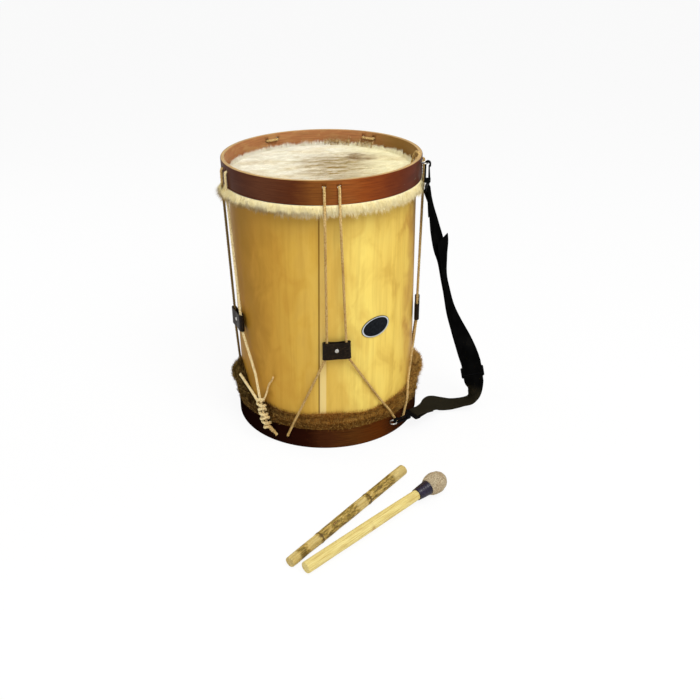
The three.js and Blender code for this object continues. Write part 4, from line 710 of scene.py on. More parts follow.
haired("top_hide_edge_hair", hide_edge, "pale_hair", "top_hide", Density=1300000, Seed=4, Length=0.0095,
       Radius=0.0003, Comb=(0, 0, 1), Lift=0.2, Ruffle=0.33, Tuft=0.01, Material=hair_coat)
kept_faces(torn_edge, lambda middle, normal: any(
    abs(azimuth_of(middle) - azimuth) < half for azimuth, half in TORN_PLACES))
haired("top_hide_torn_hair", torn_edge, "pale_hair", "top_hide", Density=900000, Seed=8, Length=0.017,
       Radius=0.00034, Comb=(0, 0, 1), Lift=0.1, Ruffle=0.5, Tuft=0.006, Material=torn_hair)


# Top fringe: the hair-on margin of the upper hide, which hangs out below the hoop all round.
# Pale cream at the front right, with olive-brown tips at the front left.
FRINGE_THICKNESS, FRINGE_HEIGHT = 1.4 * MM, 18.5 * MM
FRINGE_COLUMNS = 240
FRINGE_INSIDE_LIFT, FRINGE_TIP_LIFT, FRINGE_SHOULDER, FRINGE_TIP_SHARE = 5 * MM, 6 * MM, 4 * MM, 0.6
fringe_high = DRUM_HEIGHT - HOOP_WIDTH - FIT_GAP
fringe_low = fringe_high - FRINGE_HEIGHT
fringe_inner = WRAP_OUTER + FIT_GAP
under_wrap = fringe_high - WRAP_HEIGHT - FIT_GAP
fringe_outer = fringe_inner + FRINGE_THICKNESS
fringe_profile = [
    (SKIRT_OUTER + FRINGE_THICKNESS / 2, under_wrap), (fringe_inner, fringe_low + FRINGE_INSIDE_LIFT),
    (fringe_inner + FRINGE_THICKNESS * FRINGE_TIP_SHARE, fringe_low + FRINGE_TIP_LIFT),
    (fringe_outer, fringe_high - FRINGE_SHOULDER),
    (fringe_outer, fringe_high), (fringe_inner, fringe_high), (fringe_inner, under_wrap)]
pale_fur, tree = surface("pale_fringe_hair", 0.8, specular_ior_level=0.1)
spot = about_axis(tree)
tuft = grain(tree, object_place(tree), (0.012, 0.012, 0.03), detail=3)
hang = strayed(tree, spot["Z"], tuft, 0.02)
paint(tree, tinted(tree, "fff3c2", [
    ("8a6620", (hang, fringe_low + 2 * MM, fringe_low + 11 * MM, 1, 0), (spot["X"], -0.1, 0.05, 0.9, 0.2)),
    ("c2a35c", (attribute(tree, "tone"), 0.6, 1, 0, 0.3)), ("fffade", (tuft, 0.35, 0.6, 0.3, 0))]))
fringe = lathe("top_fringe_skin", fringe_profile, FRINGE_COLUMNS)
dressed(fringe, pale_fur, "drum", "top_fringe")


def out_of_axis(point, normal):
    """How far out a face lies, times how much it faces out."""
    return (point.x - AXIS.x) * normal.x + (point.y - AXIS.y) * normal.y


FACING_OUT = 0.05
fringe_ground, fringe_side = ground_of(fringe), ground_of(fringe)
kept_faces(fringe_ground, lambda middle, normal: out_of_axis(middle, normal) > FACING_OUT)
haired("top_fringe_hair", fringe_ground, "pale_hair", "top_fringe", Density=1200000, Seed=5, Length=0.0115,
       Radius=0.00036, Comb=(0, 0, -1), Lift=0.32, Ruffle=0.42, Tuft=0.0075, Material=pale_fur)

# At the left the hair stands out further and covers the rope
SIDE_TUFT_FROM, SIDE_TUFT_TO, SIDE_TUFT_LIFT = -172, -140, 4 * MM
kept_faces(fringe_side, lambda middle, normal: out_of_axis(middle, normal) > FACING_OUT
           and SIDE_TUFT_FROM <= azimuth_of(middle) <= SIDE_TUFT_TO
           and middle.z > fringe_low + SIDE_TUFT_LIFT)
haired("top_fringe_side_hair", fringe_side, "pale_hair", "top_fringe", Density=1300000, Seed=6, Length=0.016,
       Radius=0.00036, Comb=(0, 0, -0.7), Lift=0.75, Ruffle=0.4, Tuft=0.01, Material=pale_fur)


# Bottom collar: the hair-on margin of the lower hide, turned up against the shell in a thick band of fur,
# with flaps that stand up on both sides. The rope presses into it.
COLLAR_LOW_HEIGHT, COLLAR_FLAP_HEIGHT, COLLAR_THICKNESS = 26 * MM, 84 * MM, 3 * MM
COLLAR_FLARE, COLLAR_FLARE_POWER, COLLAR_WAVES = 26 * MM, 1.3, 7
COLLAR_COLUMNS, COLLAR_RISE_STEPS = 300, 12
FLAPS = ((-8, 23, 0.6), (-167, 23, 0.63), (124, 16, 0.35), (57, 14, 0.25))


def flap_share(azimuth):
    """How much of a whole flap stands up at each azimuth."""
    shares = []
    for middle, half, share in FLAPS:
        away = np.abs((azimuth - middle + 180) % 360 - 180) / half
        shares.append(np.where(away < 1, share * np.cos(np.minimum(away, 1) * math.pi / 2) ** 2, 0))
    return np.max(shares, axis=0)


def collar_top(azimuth):
    """The collar's upper edge at each azimuth."""
    waver = COLLAR_THICKNESS * np.sin(np.radians(azimuth * COLLAR_WAVES))
    return HOOP_WIDTH + COLLAR_LOW_HEIGHT + waver + flap_share(azimuth) * COLLAR_FLAP_HEIGHT


# Rope: five bights through the upper hoop and five through the lower one, of 5 mm three-strand rope.
# Upper bights end in the tuners, where the lower ones start. The routes come before the collar's fur.
ROPE_RADIUS, ROPE_CLEARANCE, ROPE_CORNER = 2.5 * MM, 0.5 * MM, 3 * MM
ROPE_OUTSIDE = HOOP_OUTER + ROPE_CLEARANCE + ROPE_RADIUS
ROPE_INSIDE = HOOP_INNER - ROPE_CLEARANCE - ROPE_RADIUS
ROPE_OVER_SHELL = SHELL_OUTER + ROPE_RADIUS + ROPE_CLEARANCE
TUNER_RADIUS, TUNER_HEIGHT, TUNER_HALF_WIDTH = 173 * MM, 32 * MM, 25 * MM
TUNER_AZIMUTHS = {"left": -158, "front": -85, "right": -8, "back_right": 57, "back_left": 123}
TUNER_HEIGHTS = {"left": 216 * MM, "front": 201 * MM, "right": 210 * MM, "back_right": 205 * MM,
                 "back_left": 208 * MM}
STRAND_SPACING = 36 * MM
CHANNEL_INNER, CHANNEL_OUTER = 13 * MM, 23 * MM
KNOT_TOP, KNOT_BOTTOM, KNOT_STAND_OFF, KNOT_LEG_SHARE = 82 * MM, 33 * MM, 9 * MM, 1.5
OVER_LOWER_HOOP = HOOP_WIDTH + FIT_GAP + WRAP_HEIGHT + FIT_GAP + ROPE_RADIUS
LEG_HEIGHT_SHARES = (0.62, 0.4)
FRINGE_TOUCH = DRUM_HEIGHT - HOOP_WIDTH - FRINGE_HEIGHT / 4
BEND_STEP, CORNER_LIMIT, LONG_STRETCH = math.radians(15), 2.2, 5 * MM
UPPER_BLEND_HEIGHT, KNOT_BLEND_SHARE = 455 * MM, 1.35
STRANDS, STRAND_SIDES = 3, 8
STRAND_RADIUS_SHARE, STRAND_OFFSET_SHARE, LAY_SHARE, ROPE_STEP_SHARE = 0.48, 0.52, 6, 0.76
NAMES = list(TENSIONERS)


def rounded_route(corners, radius):
    """A polyline with its corners rounded."""
    corners = [Vector(c) for c in corners]
    points = [corners[0]]
    for before, corner, after in zip(corners, corners[1:], corners[2:]):
        back, ahead = before - corner, after - corner
        turn = math.pi - back.angle(ahead)
        if turn < BEND_STEP / 2:
            points.append(corner)
            continue
        longest = radius * math.tan(turn / 2)
        reach = min(longest, back.length / CORNER_LIMIT, ahead.length / CORNER_LIMIT)
        start, end = corner + back.normalized() * reach, corner + ahead.normalized() * reach
        bisector = (back.normalized() + ahead.normalized()).normalized()
        centre = corner + bisector * (reach / math.tan(turn / 2) / math.cos(turn / 2))
        spoke = start - centre
        axis = spoke.cross(end - centre).normalized()
        steps = max(1, round(turn / BEND_STEP))
        points += [centre + Matrix.Rotation(turn * k / steps, 3, axis) @ spoke for k in range(steps + 1)]
    return points + [corners[-1]]


def tuner_point(name, side, z, spread=STRAND_SPACING / 2):
    """A point in a tuner's plane, a spread to one side of its middle."""
    azimuth = TUNER_AZIMUTHS[name]
    turn = math.radians(azimuth + 90)
    return around(azimuth, TUNER_RADIUS, z) + side * spread * np.array([math.cos(turn), math.sin(turn), 0])


def through_hoop(azimuths, z):
    """In through one hole of a hoop and out through the next."""
    first, second = azimuths
    return [around(first, ROPE_OUTSIDE, z), around(first, ROPE_INSIDE, z), around(second, ROPE_INSIDE, z),
            around(second, ROPE_OUTSIDE, z)]


def upper_corners(name):
    """The corners of an upper bight, from its tuner up through the hoop and back."""
    azimuth = TENSIONERS[name]
    azimuths = (azimuth - UPPER_HOLE_HALF_ANGLE, azimuth + UPPER_HOLE_HALF_ANGLE)
    meeting = TUNER_HEIGHTS[name] + FIT_GAP / 2
    top = TUNER_HEIGHTS[name] + TUNER_HEIGHT / 2
    entry = (CHANNEL_INNER + CHANNEL_OUTER) / 2 - ROPE_RADIUS / 2
    legs = []
    for side, azimuth in ((-1, azimuths[0]), (1, azimuths[1])):
        legs.append([tuner_point(name, side, meeting), tuner_point(name, side, meeting + TUNER_HEIGHT / 4),
                     tuner_point(name, side, top, entry), around(azimuth, ROPE_OUTSIDE, FRINGE_TOUCH)])
    return legs[0] + through_hoop(azimuths, UPPER_HOLE_Z) + legs[1][::-1]


def leg(start, azimuth, knotted):
    """The corners of a leg between its tuner and its hole, lying over the shell and over the lower hoop."""
    end = around(azimuth, ROPE_OUTSIDE, LOWER_HOLE_Z)
    heights = [LOWER_HOLE_Z + (start[2] - LOWER_HOLE_Z) * share for share in LEG_HEIGHT_SHARES]
    heights.append(OVER_LOWER_HOOP)
    if knotted:
        heights = [KNOT_TOP * KNOT_LEG_SHARE, KNOT_TOP, OVER_LOWER_HOOP, KNOT_BOTTOM]
    points = []
    for z in heights:
        point = start + (end - start) * (start[2] - z) / (start[2] - end[2])
        reach = math.hypot(point[0] - AXIS.x, point[1] - AXIS.y)
        lying = ROPE_OUTSIDE if z <= OVER_LOWER_HOOP else max(reach, ROPE_OVER_SHELL)
        if knotted and z <= KNOT_TOP:
            lying = HOOP_OUTER + (KNOT_STAND_OFF if z < KNOT_TOP else KNOT_STAND_OFF / 2)
        points.append(np.array([AXIS.x + (point[0] - AXIS.x) * lying / reach,
                                AXIS.y + (point[1] - AXIS.y) * lying / reach, z]))
    return points


def lower_corners(i, pair):
    """The corners of a lower bight, from one tuner down through the hoop and up to the next tuner."""
    middle, half = LOWER_PAIRS[pair]
    ends = []
    for name, side, azimuth, knotted in ((NAMES[i], 1, middle - half, i == 0),
                                         (NAMES[(i + 1) % len(NAMES)], -1, middle + half, False)):
        meeting = TUNER_HEIGHTS[name] - FIT_GAP / 2
        low = TUNER_HEIGHTS[name] - TUNER_HEIGHT / 2
        start = [tuner_point(name, side, meeting), tuner_point(name, side, meeting - TUNER_HEIGHT / 4),
                 tuner_point(name, side, low, CHANNEL_OUTER - ROPE_RADIUS - 2 * FIT_GAP)]
        ends.append(start + leg(start[2], azimuth, knotted))
    return ends[0] + through_hoop((middle - half, middle + half), LOWER_HOLE_Z) + ends[1][::-1]


upper_routes = {name: rounded_route(upper_corners(name), ROPE_CORNER) for name in NAMES}
lower_routes = {pair: rounded_route(lower_corners(i, pair), ROPE_CORNER)
                for i, pair in enumerate(LOWER_PAIRS)}

rope_tree, laid, laid_out = sized_tree("laid_rope", {
    "Strand Radius": "Float", "Strand Offset": "Float", "Lay": "Float", "Step": "Float",
    "Material": "Material"})
line = node(rope_tree, "GeometryNodeMeshToCurve", {"Mesh": laid.outputs["Geometry"]})
even = node(rope_tree, "GeometryNodeResampleCurve", {
    "Curve": line.outputs[0], "Length": laid.outputs["Step"]}, mode="LENGTH")
tangent = node(rope_tree, "GeometryNodeInputTangent").outputs[0]
normal = node(rope_tree, "GeometryNodeInputNormal").outputs[0]
across = vector_calc(rope_tree, "CROSS_PRODUCT", tangent, normal)
along = node(rope_tree, "GeometryNodeSplineParameter").outputs["Length"]
turns = calc(rope_tree, "DIVIDE", along, laid.outputs["Lay"])
ring = node(rope_tree, "GeometryNodeCurvePrimitiveCircle", {
    "Resolution": STRAND_SIDES, "Radius": laid.outputs["Strand Radius"]})
joined = node(rope_tree, "GeometryNodeJoinGeometry")
for k in range(STRANDS):
    angle = calc(rope_tree, "MULTIPLY", calc(rope_tree, "ADD", turns, k / STRANDS), 2 * math.pi)
    wave_n = calc(rope_tree, "MULTIPLY", calc(rope_tree, "COSINE", angle), laid.outputs["Strand Offset"])
    wave_a = calc(rope_tree, "MULTIPLY", calc(rope_tree, "SINE", angle), laid.outputs["Strand Offset"])
    shift = vector_calc(rope_tree, "ADD", scaled(rope_tree, normal, wave_n),
                        scaled(rope_tree, across, wave_a))
    strand = node(rope_tree, "GeometryNodeSetPosition", {"Geometry": even.outputs[0], "Offset": shift})
    tube = node(rope_tree, "GeometryNodeCurveToMesh", {
        "Curve": strand.outputs[0], "Profile Curve": ring.outputs[0], "Fill Caps": True})
    rope_tree.links.new(tube.outputs[0], joined.inputs[0])
smooth = node(rope_tree, "GeometryNodeSetShadeSmooth", {"Geometry": joined.outputs[0]})
real = node(rope_tree, "GeometryNodeRealizeInstances", {0: smooth.outputs[0]})
dyed = node(rope_tree, "GeometryNodeSetMaterial", {
    "Geometry": real.outputs[0], "Material": laid.outputs["Material"]})
rope_tree.links.new(dyed.outputs[0], laid_out.inputs[0])

rope_fibre, tree = surface("rope_fibre", 0.9, specular_ior_level=0.1)
fuzz = grain(tree, object_place(tree), (0.0016, 0.0016, 0.0022), detail=3, rough=0.6)
worn = grain(tree, object_place(tree), (0.02, 0.02, 0.03), detail=2)
spot = about_axis(tree)
x, y, z = spot["X"], spot["Y"], spot["Z"]
# Painted shade: the strands at the drum's left and right sides, below the upper hoop, are darkened to olive.
left_painted_shade = where(tree, (x, -0.13, -0.15, 0, 0.8), (y, -0.07, -0.06))
right_painted_shade = where(tree, (x, 0.15, 0.165, 0, 0.7), (y, -0.035, -0.02, 0.35, 1))
painted_shade_share = calc(tree, "MULTIPLY", calc(tree, "MAXIMUM", left_painted_shade, right_painted_shade),
             between(tree, z, 0.455, 0.468, 1, 0))
colour = ramp(tree, fuzz, [(0.3, "6e4f26"), (0.43, "bd9858"), (0.6, "e3c68a"), (0.8, "f4e2b2")])
colour = tinted(tree, colour, [("9c7640", (worn, 0.5, 0.72, 0, 0.45))])
colour = mix(tree, painted_shade_share, colour, "4a3a18")
paint(tree, tinted(tree, colour, [
    ("9a7436", (x, -0.1, -0.08), (x, 0.12, 0.13, 1, 0), (z, 0.44, 0.41, 0, 0.4)),
    # Pale cream on the lit strands at the front left: painted light.
    ("f6e7b4", (x, -0.1, -0.13), (y, -0.075, -0.065, 1, 0), (fuzz, 0.35, 0.5, 0.1, 0.75))]))
bump(tree, fuzz, 0.0004, 0.7)


def path_object(name, points):
    """An object with one edge from each point to the next."""
    mesh = bpy.data.meshes.new(name)
    mesh.from_pydata([tuple(p) for p in points], [(k, k + 1) for k in range(len(points) - 1)], [])
    return placed(name, mesh)


def rope(name, points, node_name, share=1):
    """Three-strand rope along the points."""
    made = grown(name, path_object(name, points), rope_tree, {
        "Strand Radius": ROPE_RADIUS * STRAND_RADIUS_SHARE * share,
        "Strand Offset": ROPE_RADIUS * STRAND_OFFSET_SHARE * share,
        "Lay": ROPE_RADIUS * LAY_SHARE * share, "Step": ROPE_RADIUS * ROPE_STEP_SHARE,
        "Material": rope_fibre})
    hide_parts(node_name)
    return made


def on_axis_line(azimuth, z):
    return tuple(around(azimuth, TUNER_RADIUS, z))


def tuner_end(name, up):
    """The middle of a tuner's upper or lower edge."""
    return on_axis_line(TUNER_AZIMUTHS[name], TUNER_HEIGHTS[name] + up * TUNER_HEIGHT / 2)


def reach_of(point):
    """How far a point is from the drum's axis."""
    return math.hypot(point.x - AXIS.x, point.y - AXIS.y)


for name, route in upper_routes.items():
    bight = rope(f"upper_bight_{name}", route, f"rope_upper_{name}")
    on_axis_line(TENSIONERS[name], UPPER_BLEND_HEIGHT)
    tuner_end(name, 1)
    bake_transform(bight)
# Each lower bight is parted inside the hoop, in one half for each of its two tuners
for i, (pair, route) in enumerate(lower_routes.items()):
    parting = min(range(len(route)), key=lambda k: (reach_of(route[k]), k))
    while reach_of(route[parting + 1]) < ROPE_INSIDE + MM / 10:
        parting += 1
        if (route[parting] - route[parting - 1]).length > LONG_STRETCH:
            break
    inside = Vector(around(LOWER_PAIRS[pair][0], ROPE_INSIDE, LOWER_HOLE_Z))
    halves = (route[:parting] + [inside], [inside] + route[parting:])
    for half, tuner, side in zip(halves, (NAMES[i], NAMES[(i + 1) % len(NAMES)]), ("first", "second")):
        piece = rope(f"lower_bight_{pair}_{side}", half, f"rope_lower_{pair}")
        knotted = i == 0 and side == "first"
        start_z = KNOT_TOP * KNOT_BLEND_SHARE if knotted else OVER_LOWER_HOOP
        on_axis_line(TUNER_AZIMUTHS[tuner], start_z)
        tuner_end(tuner, -1)
        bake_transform(piece)


# Knot: the rope's end, wound in turns round the front left leg, with a short tail below and a long one above.
# It is the drum's own rope, and its turns swell and cross a little, as they were pulled tight by hand.
KNOT_TURNS, KNOT_TURN_STEPS, KNOT_SLACK, KNOT_START_ANGLE = 6.3, 20, 0.75 * MM, 60
KNOT_SWING, KNOT_CROSSING, KNOT_SWAY_RATE = 2.4 * MM, 2.6 * MM, 0.37
KNOT_ROPE_SHARE, SECOND_TAIL_ROPE_SHARE, RIM_LOOP_ROPE_SHARE = 1.12, 0.75, 0.85
KNOT_SMOOTHING, TAIL_SMOOTHING = 4, 8
KNOT_LOW_TAIL = ((-123, 4.4, 17), (-124, 5.6, 23), (-125, 8.4, 29))
KNOT_HIGH_TAIL = ((-138.2, 7.5, 86), (-141, 5.5, 88.5), (-145, 3.5, 92), (-150, 3, 97.5), (-155.7, 5, 105.7))


def leg_place(z):
    """Where the front left leg of the rope is at a height."""
    route = lower_routes["front_left"]
    k = next(k for k in range(1, len(route)) if route[k].z <= z)
    return route[k - 1].lerp(route[k], (route[k - 1].z - z) / (route[k - 1].z - route[k].z))


def smoothed(points, steps):
    """A smooth line through the points."""
    points = [Vector(p) for p in points]
    ends = [points[0] * 2 - points[1], *points, points[-1] * 2 - points[-2]]
    line = []
    for a, b, c, d in zip(ends, ends[1:], ends[2:], ends[3:]):
        for k in range(steps):
            t = k / steps
            line.append(b + ((c - a) / 2) * t + (a * 2 - b * 5 + c * 4 - d) / 2 * t * t
                        + (b * 3 - a - c * 3 + d) / 2 * t ** 3)
    return line + [points[-1]]


def points_off(radius, points):
    """Points given by azimuth, distance off the radius and height, the last two in millimetres."""
    return [Vector(around(azimuth, radius + away * MM, z * MM)) for azimuth, away, z in points]


knot_steps = round(KNOT_TURNS * KNOT_TURN_STEPS)
knot_rise = (KNOT_TOP - KNOT_BOTTOM) / knot_steps
reach = ROPE_RADIUS * 2 + KNOT_SLACK
winding = []
for k in range(knot_steps + 1):
    z = KNOT_BOTTOM + knot_rise * k
    centre = leg_place(z)
    along = (leg_place(z + knot_rise) - leg_place(z - knot_rise)).normalized()
    outward = Vector((centre.x - AXIS.x, centre.y - AXIS.y, 0)).normalized()
    beside = along.cross(outward).normalized()
    front = beside.cross(along)
    turn = math.radians(KNOT_START_ANGLE) - 2 * math.pi * k / KNOT_TURN_STEPS
    swell = KNOT_SWING * (1 - k / knot_steps) + KNOT_SWING / 2 * math.sin(turn * KNOT_SWAY_RATE)
    crossing = KNOT_CROSSING * math.cos(turn / 2) * math.sin(turn)
    winding.append(centre + front * reach * math.cos(turn) + beside * (reach + swell) * math.sin(turn)
                   + along * crossing)
knot_line = [*points_off(HOOP_OUTER, KNOT_LOW_TAIL), *winding[::2], *points_off(HOOP_OUTER, KNOT_HIGH_TAIL)]
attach(rope("knot", smoothed(knot_line, KNOT_SMOOTHING), "rope_knot", KNOT_ROPE_SHARE), "drum")
SECOND_TAIL = ((-133, 15, 79), (-131.5, 10, 85), (-131, 4, 95), (-129.5, 1, 113), (-127, 0.8, 124),
               (-125.5, 1.5, 133))
second_line = smoothed(points_off(ROPE_OVER_SHELL, SECOND_TAIL), TAIL_SMOOTHING)
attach(rope("knot_second_tail", second_line, "rope_knot", SECOND_TAIL_ROPE_SHARE), "drum")

# A loose loop of the rope lies over the upper rim at the right
RIM_LOOP = ((-3, 156, 476), (-4, 158, 487), (-6, 160, 497), (-8, 163.5, 503), (-11, 168, 503.5),
            (-13.5, 170.5, 501), (-15, 167, 496))
rim_line = smoothed(points_off(0, RIM_LOOP), TAIL_SMOOTHING)
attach(rope("rim_loop", rim_line, "rope_upper_right", RIM_LOOP_ROPE_SHARE), "drum")


# The collar's fur: a skin that carries the hair. It covers the lower hide's tuck, leans out in the flaps,
# and is pressed in under every stretch of rope.
RELIEF, RELIEF_REACH, RELIEF_DEPTH, PRESS_STEP = 3.1 * MM, 14 * MM, 16 * MM, 4 * MM
FIRST_RISE_SHARE, COLLAR_FACING_OUT, COLLAR_FACING_UP = 0.04, 0.01, 0.3
rope_points = []
for route in [*upper_routes.values(), *lower_routes.values()]:
    for first, second in zip(route, route[1:]):
        steps = max(1, int((second - first).length / PRESS_STEP))
        rope_points += [first.lerp(second, k / steps) for k in range(steps)]
rope_points = np.array(rope_points) - np.array(AXIS)
rope_azimuth = np.degrees(np.arctan2(rope_points[:, 1], rope_points[:, 0]))
rope_reach = np.hypot(rope_points[:, 0], rope_points[:, 1])

collar_azimuth = np.arange(COLLAR_COLUMNS) * 360 / COLLAR_COLUMNS - 180
low = HOOP_WIDTH + FIT_GAP
over_wrap = low + WRAP_HEIGHT + FIT_GAP
wrap_side = WRAP_OUTER + FIT_GAP
rise_shares = np.linspace(FIRST_RISE_SHARE, 1, COLLAR_RISE_STEPS)
share = flap_share(collar_azimuth)
top = collar_top(collar_azimuth)


def pressed(azimuth, radius, z):
    """The radius, held inside any rope that passes near."""
    away = (azimuth[:, None] - rope_azimuth[None, :] + 180) % 360 - 180
    distance = np.hypot(np.radians(away) * HOOP_OUTER, z[:, None] - rope_points[None, :, 2])
    limit = rope_reach[None, :] - RELIEF + RELIEF_DEPTH * (distance / RELIEF_REACH) ** 2
    return np.minimum(radius, limit.min(axis=1))


flat = np.ones(COLLAR_COLUMNS)
inside_rows = [(flat * wrap_side, flat * low), (flat * wrap_side, flat * over_wrap)]
outside_rows = []
for part in rise_shares:
    flare = COLLAR_FLARE * share * np.sin(math.pi * part ** COLLAR_FLARE_POWER)
    z = over_wrap + (top - over_wrap) * part
    inner = SHELL_OUTER + FIT_GAP + flare
    outer = pressed(collar_azimuth, inner + COLLAR_THICKNESS * (1 - part / 2), z)
    inside_rows.append((np.minimum(inner, outer - COLLAR_THICKNESS / 3), z))
    outside_rows.append((outer, z))
foot = flat * (wrap_side + FRINGE_THICKNESS)
outside_rows = [*outside_rows[::-1], (foot, flat * over_wrap), (foot, flat * low)]
collar_rows = [around(collar_azimuth, r, z) for r, z in inside_rows + outside_rows]
collar = skin("fur_collar_skin", collar_rows, loop_rows=True, sharp=80)

brown_fur, tree = surface("brown_collar_hair", 0.85, specular_ior_level=0.04)
spot = about_axis(tree)
tuft = grain(tree, object_place(tree), (0.014, 0.014, 0.02), detail=3)
lump = grain(tree, object_place(tree), (0.006, 0.006, 0.006), detail=3)
tone = attribute(tree, "tone")
low_down = calc(tree, "MULTIPLY_ADD", tuft, 0.012, spot["Z"])
# Across the front the fur's colours hold painted shade, darkest at the left and lighter towards the right
# where the key lamp falls.
colour = ramp(tree, share_across(tree, strayed(tree, spot["X"], tuft, 0.05), 0.18), [
    (0, "4f4220"), (0.1, "33260f"), (0.2, "5d3f1a"), (0.32, "a87a36"), (0.5, "bd8238"), (0.66, "c48f3e"),
    (0.78, "b88236"), (0.88, "c08f40"), (1, "c59a52")])
paint(tree, tinted(tree, colour, [
    ("57360f", (low_down, 0.054, 0.066, 0.55, 0)), ("e3ba6c", (tone, 0.55, 0.95, 0, 0.6)),
    ("3f250c", (tone, 0.34, 0, 0, 0.6)), ("54340f", (lump, 0.45, 0.62, 0, 0.45))]))
dressed(collar, brown_fur, "drum", "bottom_fur_collar")
collar_ground = ground_of(collar)
kept_faces(collar_ground, lambda middle, normal: out_of_axis(middle, normal) > COLLAR_FACING_OUT
           or normal.z > COLLAR_FACING_UP)
haired("fur_collar_hair", collar_ground, "brown_hair", "bottom_fur_collar", Density=620000, Seed=7,
       Length=0.009, Radius=0.00034, Comb=(0, 0, 0.55), Lift=0.6, Ruffle=0.65, Tuft=0.007, Material=brown_fur)
bpy.data.objects.remove(one_hair)


# Tuners: each is a strip of black leather wrapped round two strands and nipped between them by a rivet.
# Slid down, it draws the strands together and tightens the hides.
LEATHER, TUNER_DEEP, TUNER_EASE = 1.8 * MM, 4.6 * MM, 0.4 * MM
TUNER_NIP_SHARE, NIP_REACH_SHARE, ROUND_END_SHARE = 0.72, 0.6, 0.78
TUNER_LOOP, TUNER_ROWS = 56, 17
TUNER_FLARE, TUNER_DIP, TUNER_WAIST = 0.66 * MM, 1.3 * MM, 0.4 * MM
TUNER_SIDE_POWER, LOWER_DIP_SHARE = 1.25, 0.6
RIVET_SIDES = 24
RIVET_PROFILE = ((0, -3.9), (3, -3.9), (3, -3.4), (1.6, -3.3), (1.6, 3.3), (3.6, 3.3), (3.5, 3.8), (2.8, 4.4),
                 (1.5, 4.75), (0, 4.85))
leather, tree = surface("tuner_leather", 0.4, specular_ior_level=0.07)
spot = object_place(tree)
pores = node(tree, "ShaderNodeTexVoronoi", {"Vector": spot, "Scale": 900}).outputs["Distance"]
crease = grain(tree, spot, (0.004, 0.004, 0.0015), detail=4, rough=0.6)
paint(tree, ramp(tree, crease, [(0.3, "0c0805"), (0.55, "1c140c"), (0.75, "3d2f20")]))
bump(tree, calc(tree, "ADD", calc(tree, "MULTIPLY", pores, 0.3), crease), 0.0006, 0.6)
steel, tree = surface("nickel", 0.28, metallic=1)
scuff = grain(tree, object_place(tree), (0.001, 0.001, 0.001), detail=3)
paint(tree, ramp(tree, scuff, [(0.3, "8f8d88"), (0.7, "d8d6d0")]))


def tuner_frame(name):
    """A tuner's place: its own y points out from the drum and its own z points up."""
    azimuth = TUNER_AZIMUTHS[name]
    out_way = Vector(around(azimuth, 1, 0)) - AXIS
    side_way = Vector(around(azimuth + 90, 1, 0)) - AXIS
    middle = Vector(around(azimuth, TUNER_RADIUS, TUNER_HEIGHTS[name]))
    turned = Matrix((-side_way, out_way, Vector((0, 0, 1)))).transposed().to_4x4()
    return Matrix.Translation(middle) @ turned


def sleeve_half_depth(x, half, deep):
    """How deep the sleeve is at a distance from its middle: two lobes and a nip between them."""
    part = np.clip(np.abs(x) / half, 0, 1)
    lobe = (1 - np.cos(np.minimum(part / NIP_REACH_SHARE, 1) * math.pi)) / 2
    nip = TUNER_NIP_SHARE + (1 - TUNER_NIP_SHARE) * lobe
    rounded = np.clip((part - ROUND_END_SHARE) / (1 - ROUND_END_SHARE), 0, 1)
    end = np.sqrt(np.clip(1 - rounded ** 2, 0, 1))
    return deep * nip * end


def sleeve_rows(inset):
    """The sleeve's outline at each height, inset for its inner face. Its edges dip and its sides flare."""
    rows = []
    turn = np.linspace(0, 2 * math.pi, TUNER_LOOP, endpoint=False)
    for t in np.linspace(-1, 1, TUNER_ROWS):
        half = TUNER_HALF_WIDTH - inset - TUNER_FLARE * (t + 1) / 2 + TUNER_WAIST * t * t
        x = half * np.sign(np.cos(turn)) * (1 - (1 - np.abs(np.cos(turn))) ** TUNER_SIDE_POWER)
        y = np.sign(np.sin(turn)) * sleeve_half_depth(x, half, TUNER_DEEP - inset)
        dip = TUNER_DIP * (1 - (x / half) ** 2)
        z = t * TUNER_HEIGHT / 2 - dip * (max(t, 0) ** 3 + LOWER_DIP_SHARE * max(-t, 0) ** 3)
        rows.append(np.stack([x, y, z + 0 * x], 1))
    return rows


sleeve = sleeve_rows(0) + sleeve_rows(LEATHER)[::-1]
for name in NAMES:
    place = tuner_frame(name)
    rows = [[place @ Vector(p) for p in row] for row in sleeve]
    tuner = skin(f"tuner_sleeve_{name}", rows, loop_rows=True)
    tuner.data.materials.append(leather)
    ease = tuner.modifiers.new("eased", "BEVEL")
    ease.width = TUNER_EASE
    ease.segments = 2
    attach(tuner, f"tuner_{name}")
    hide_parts(f"tuner_{name}")
    rows = [[place @ Vector((r * MM * math.cos(t), y * MM, r * MM * math.sin(t)))
             for t in np.linspace(0, 2 * math.pi, RIVET_SIDES, endpoint=False)] for r, y in RIVET_PROFILE]
    rivet = skin(f"rivet_{name}", rows)
    dressed(rivet, steel, f"tuner_{name}", f"tuner_rivet_{name}")


# Badge: a small oval plate of black enamel with a thin raised rim of pale metal. It is bent to the shell,
# glued on at a slant, and blank.
BADGE_AZIMUTH, BADGE_Z, BADGE_TILT = -59.2, 229.5 * MM, 8
BADGE_WIDE, BADGE_TALL, BADGE_THICK, BADGE_RIM = 58 * MM, 37 * MM, 0.8 * MM, 0.35 * MM
BADGE_SIDES, BADGE_OFF_SHELL = 96, 1.5 * FIT_GAP
BADGE_BACK_SHARES, BADGE_BACK_ALONG = (1, 0.5, 0), (1.05, 1.1, 1.15)
BADGE_FRONT_SHARES = ((0, 0), (0.5, 0), (0.86, 0), (0.885, 0.6), (0.9, 1), (0.96, 1), (0.98, 0.8), (1, 0))


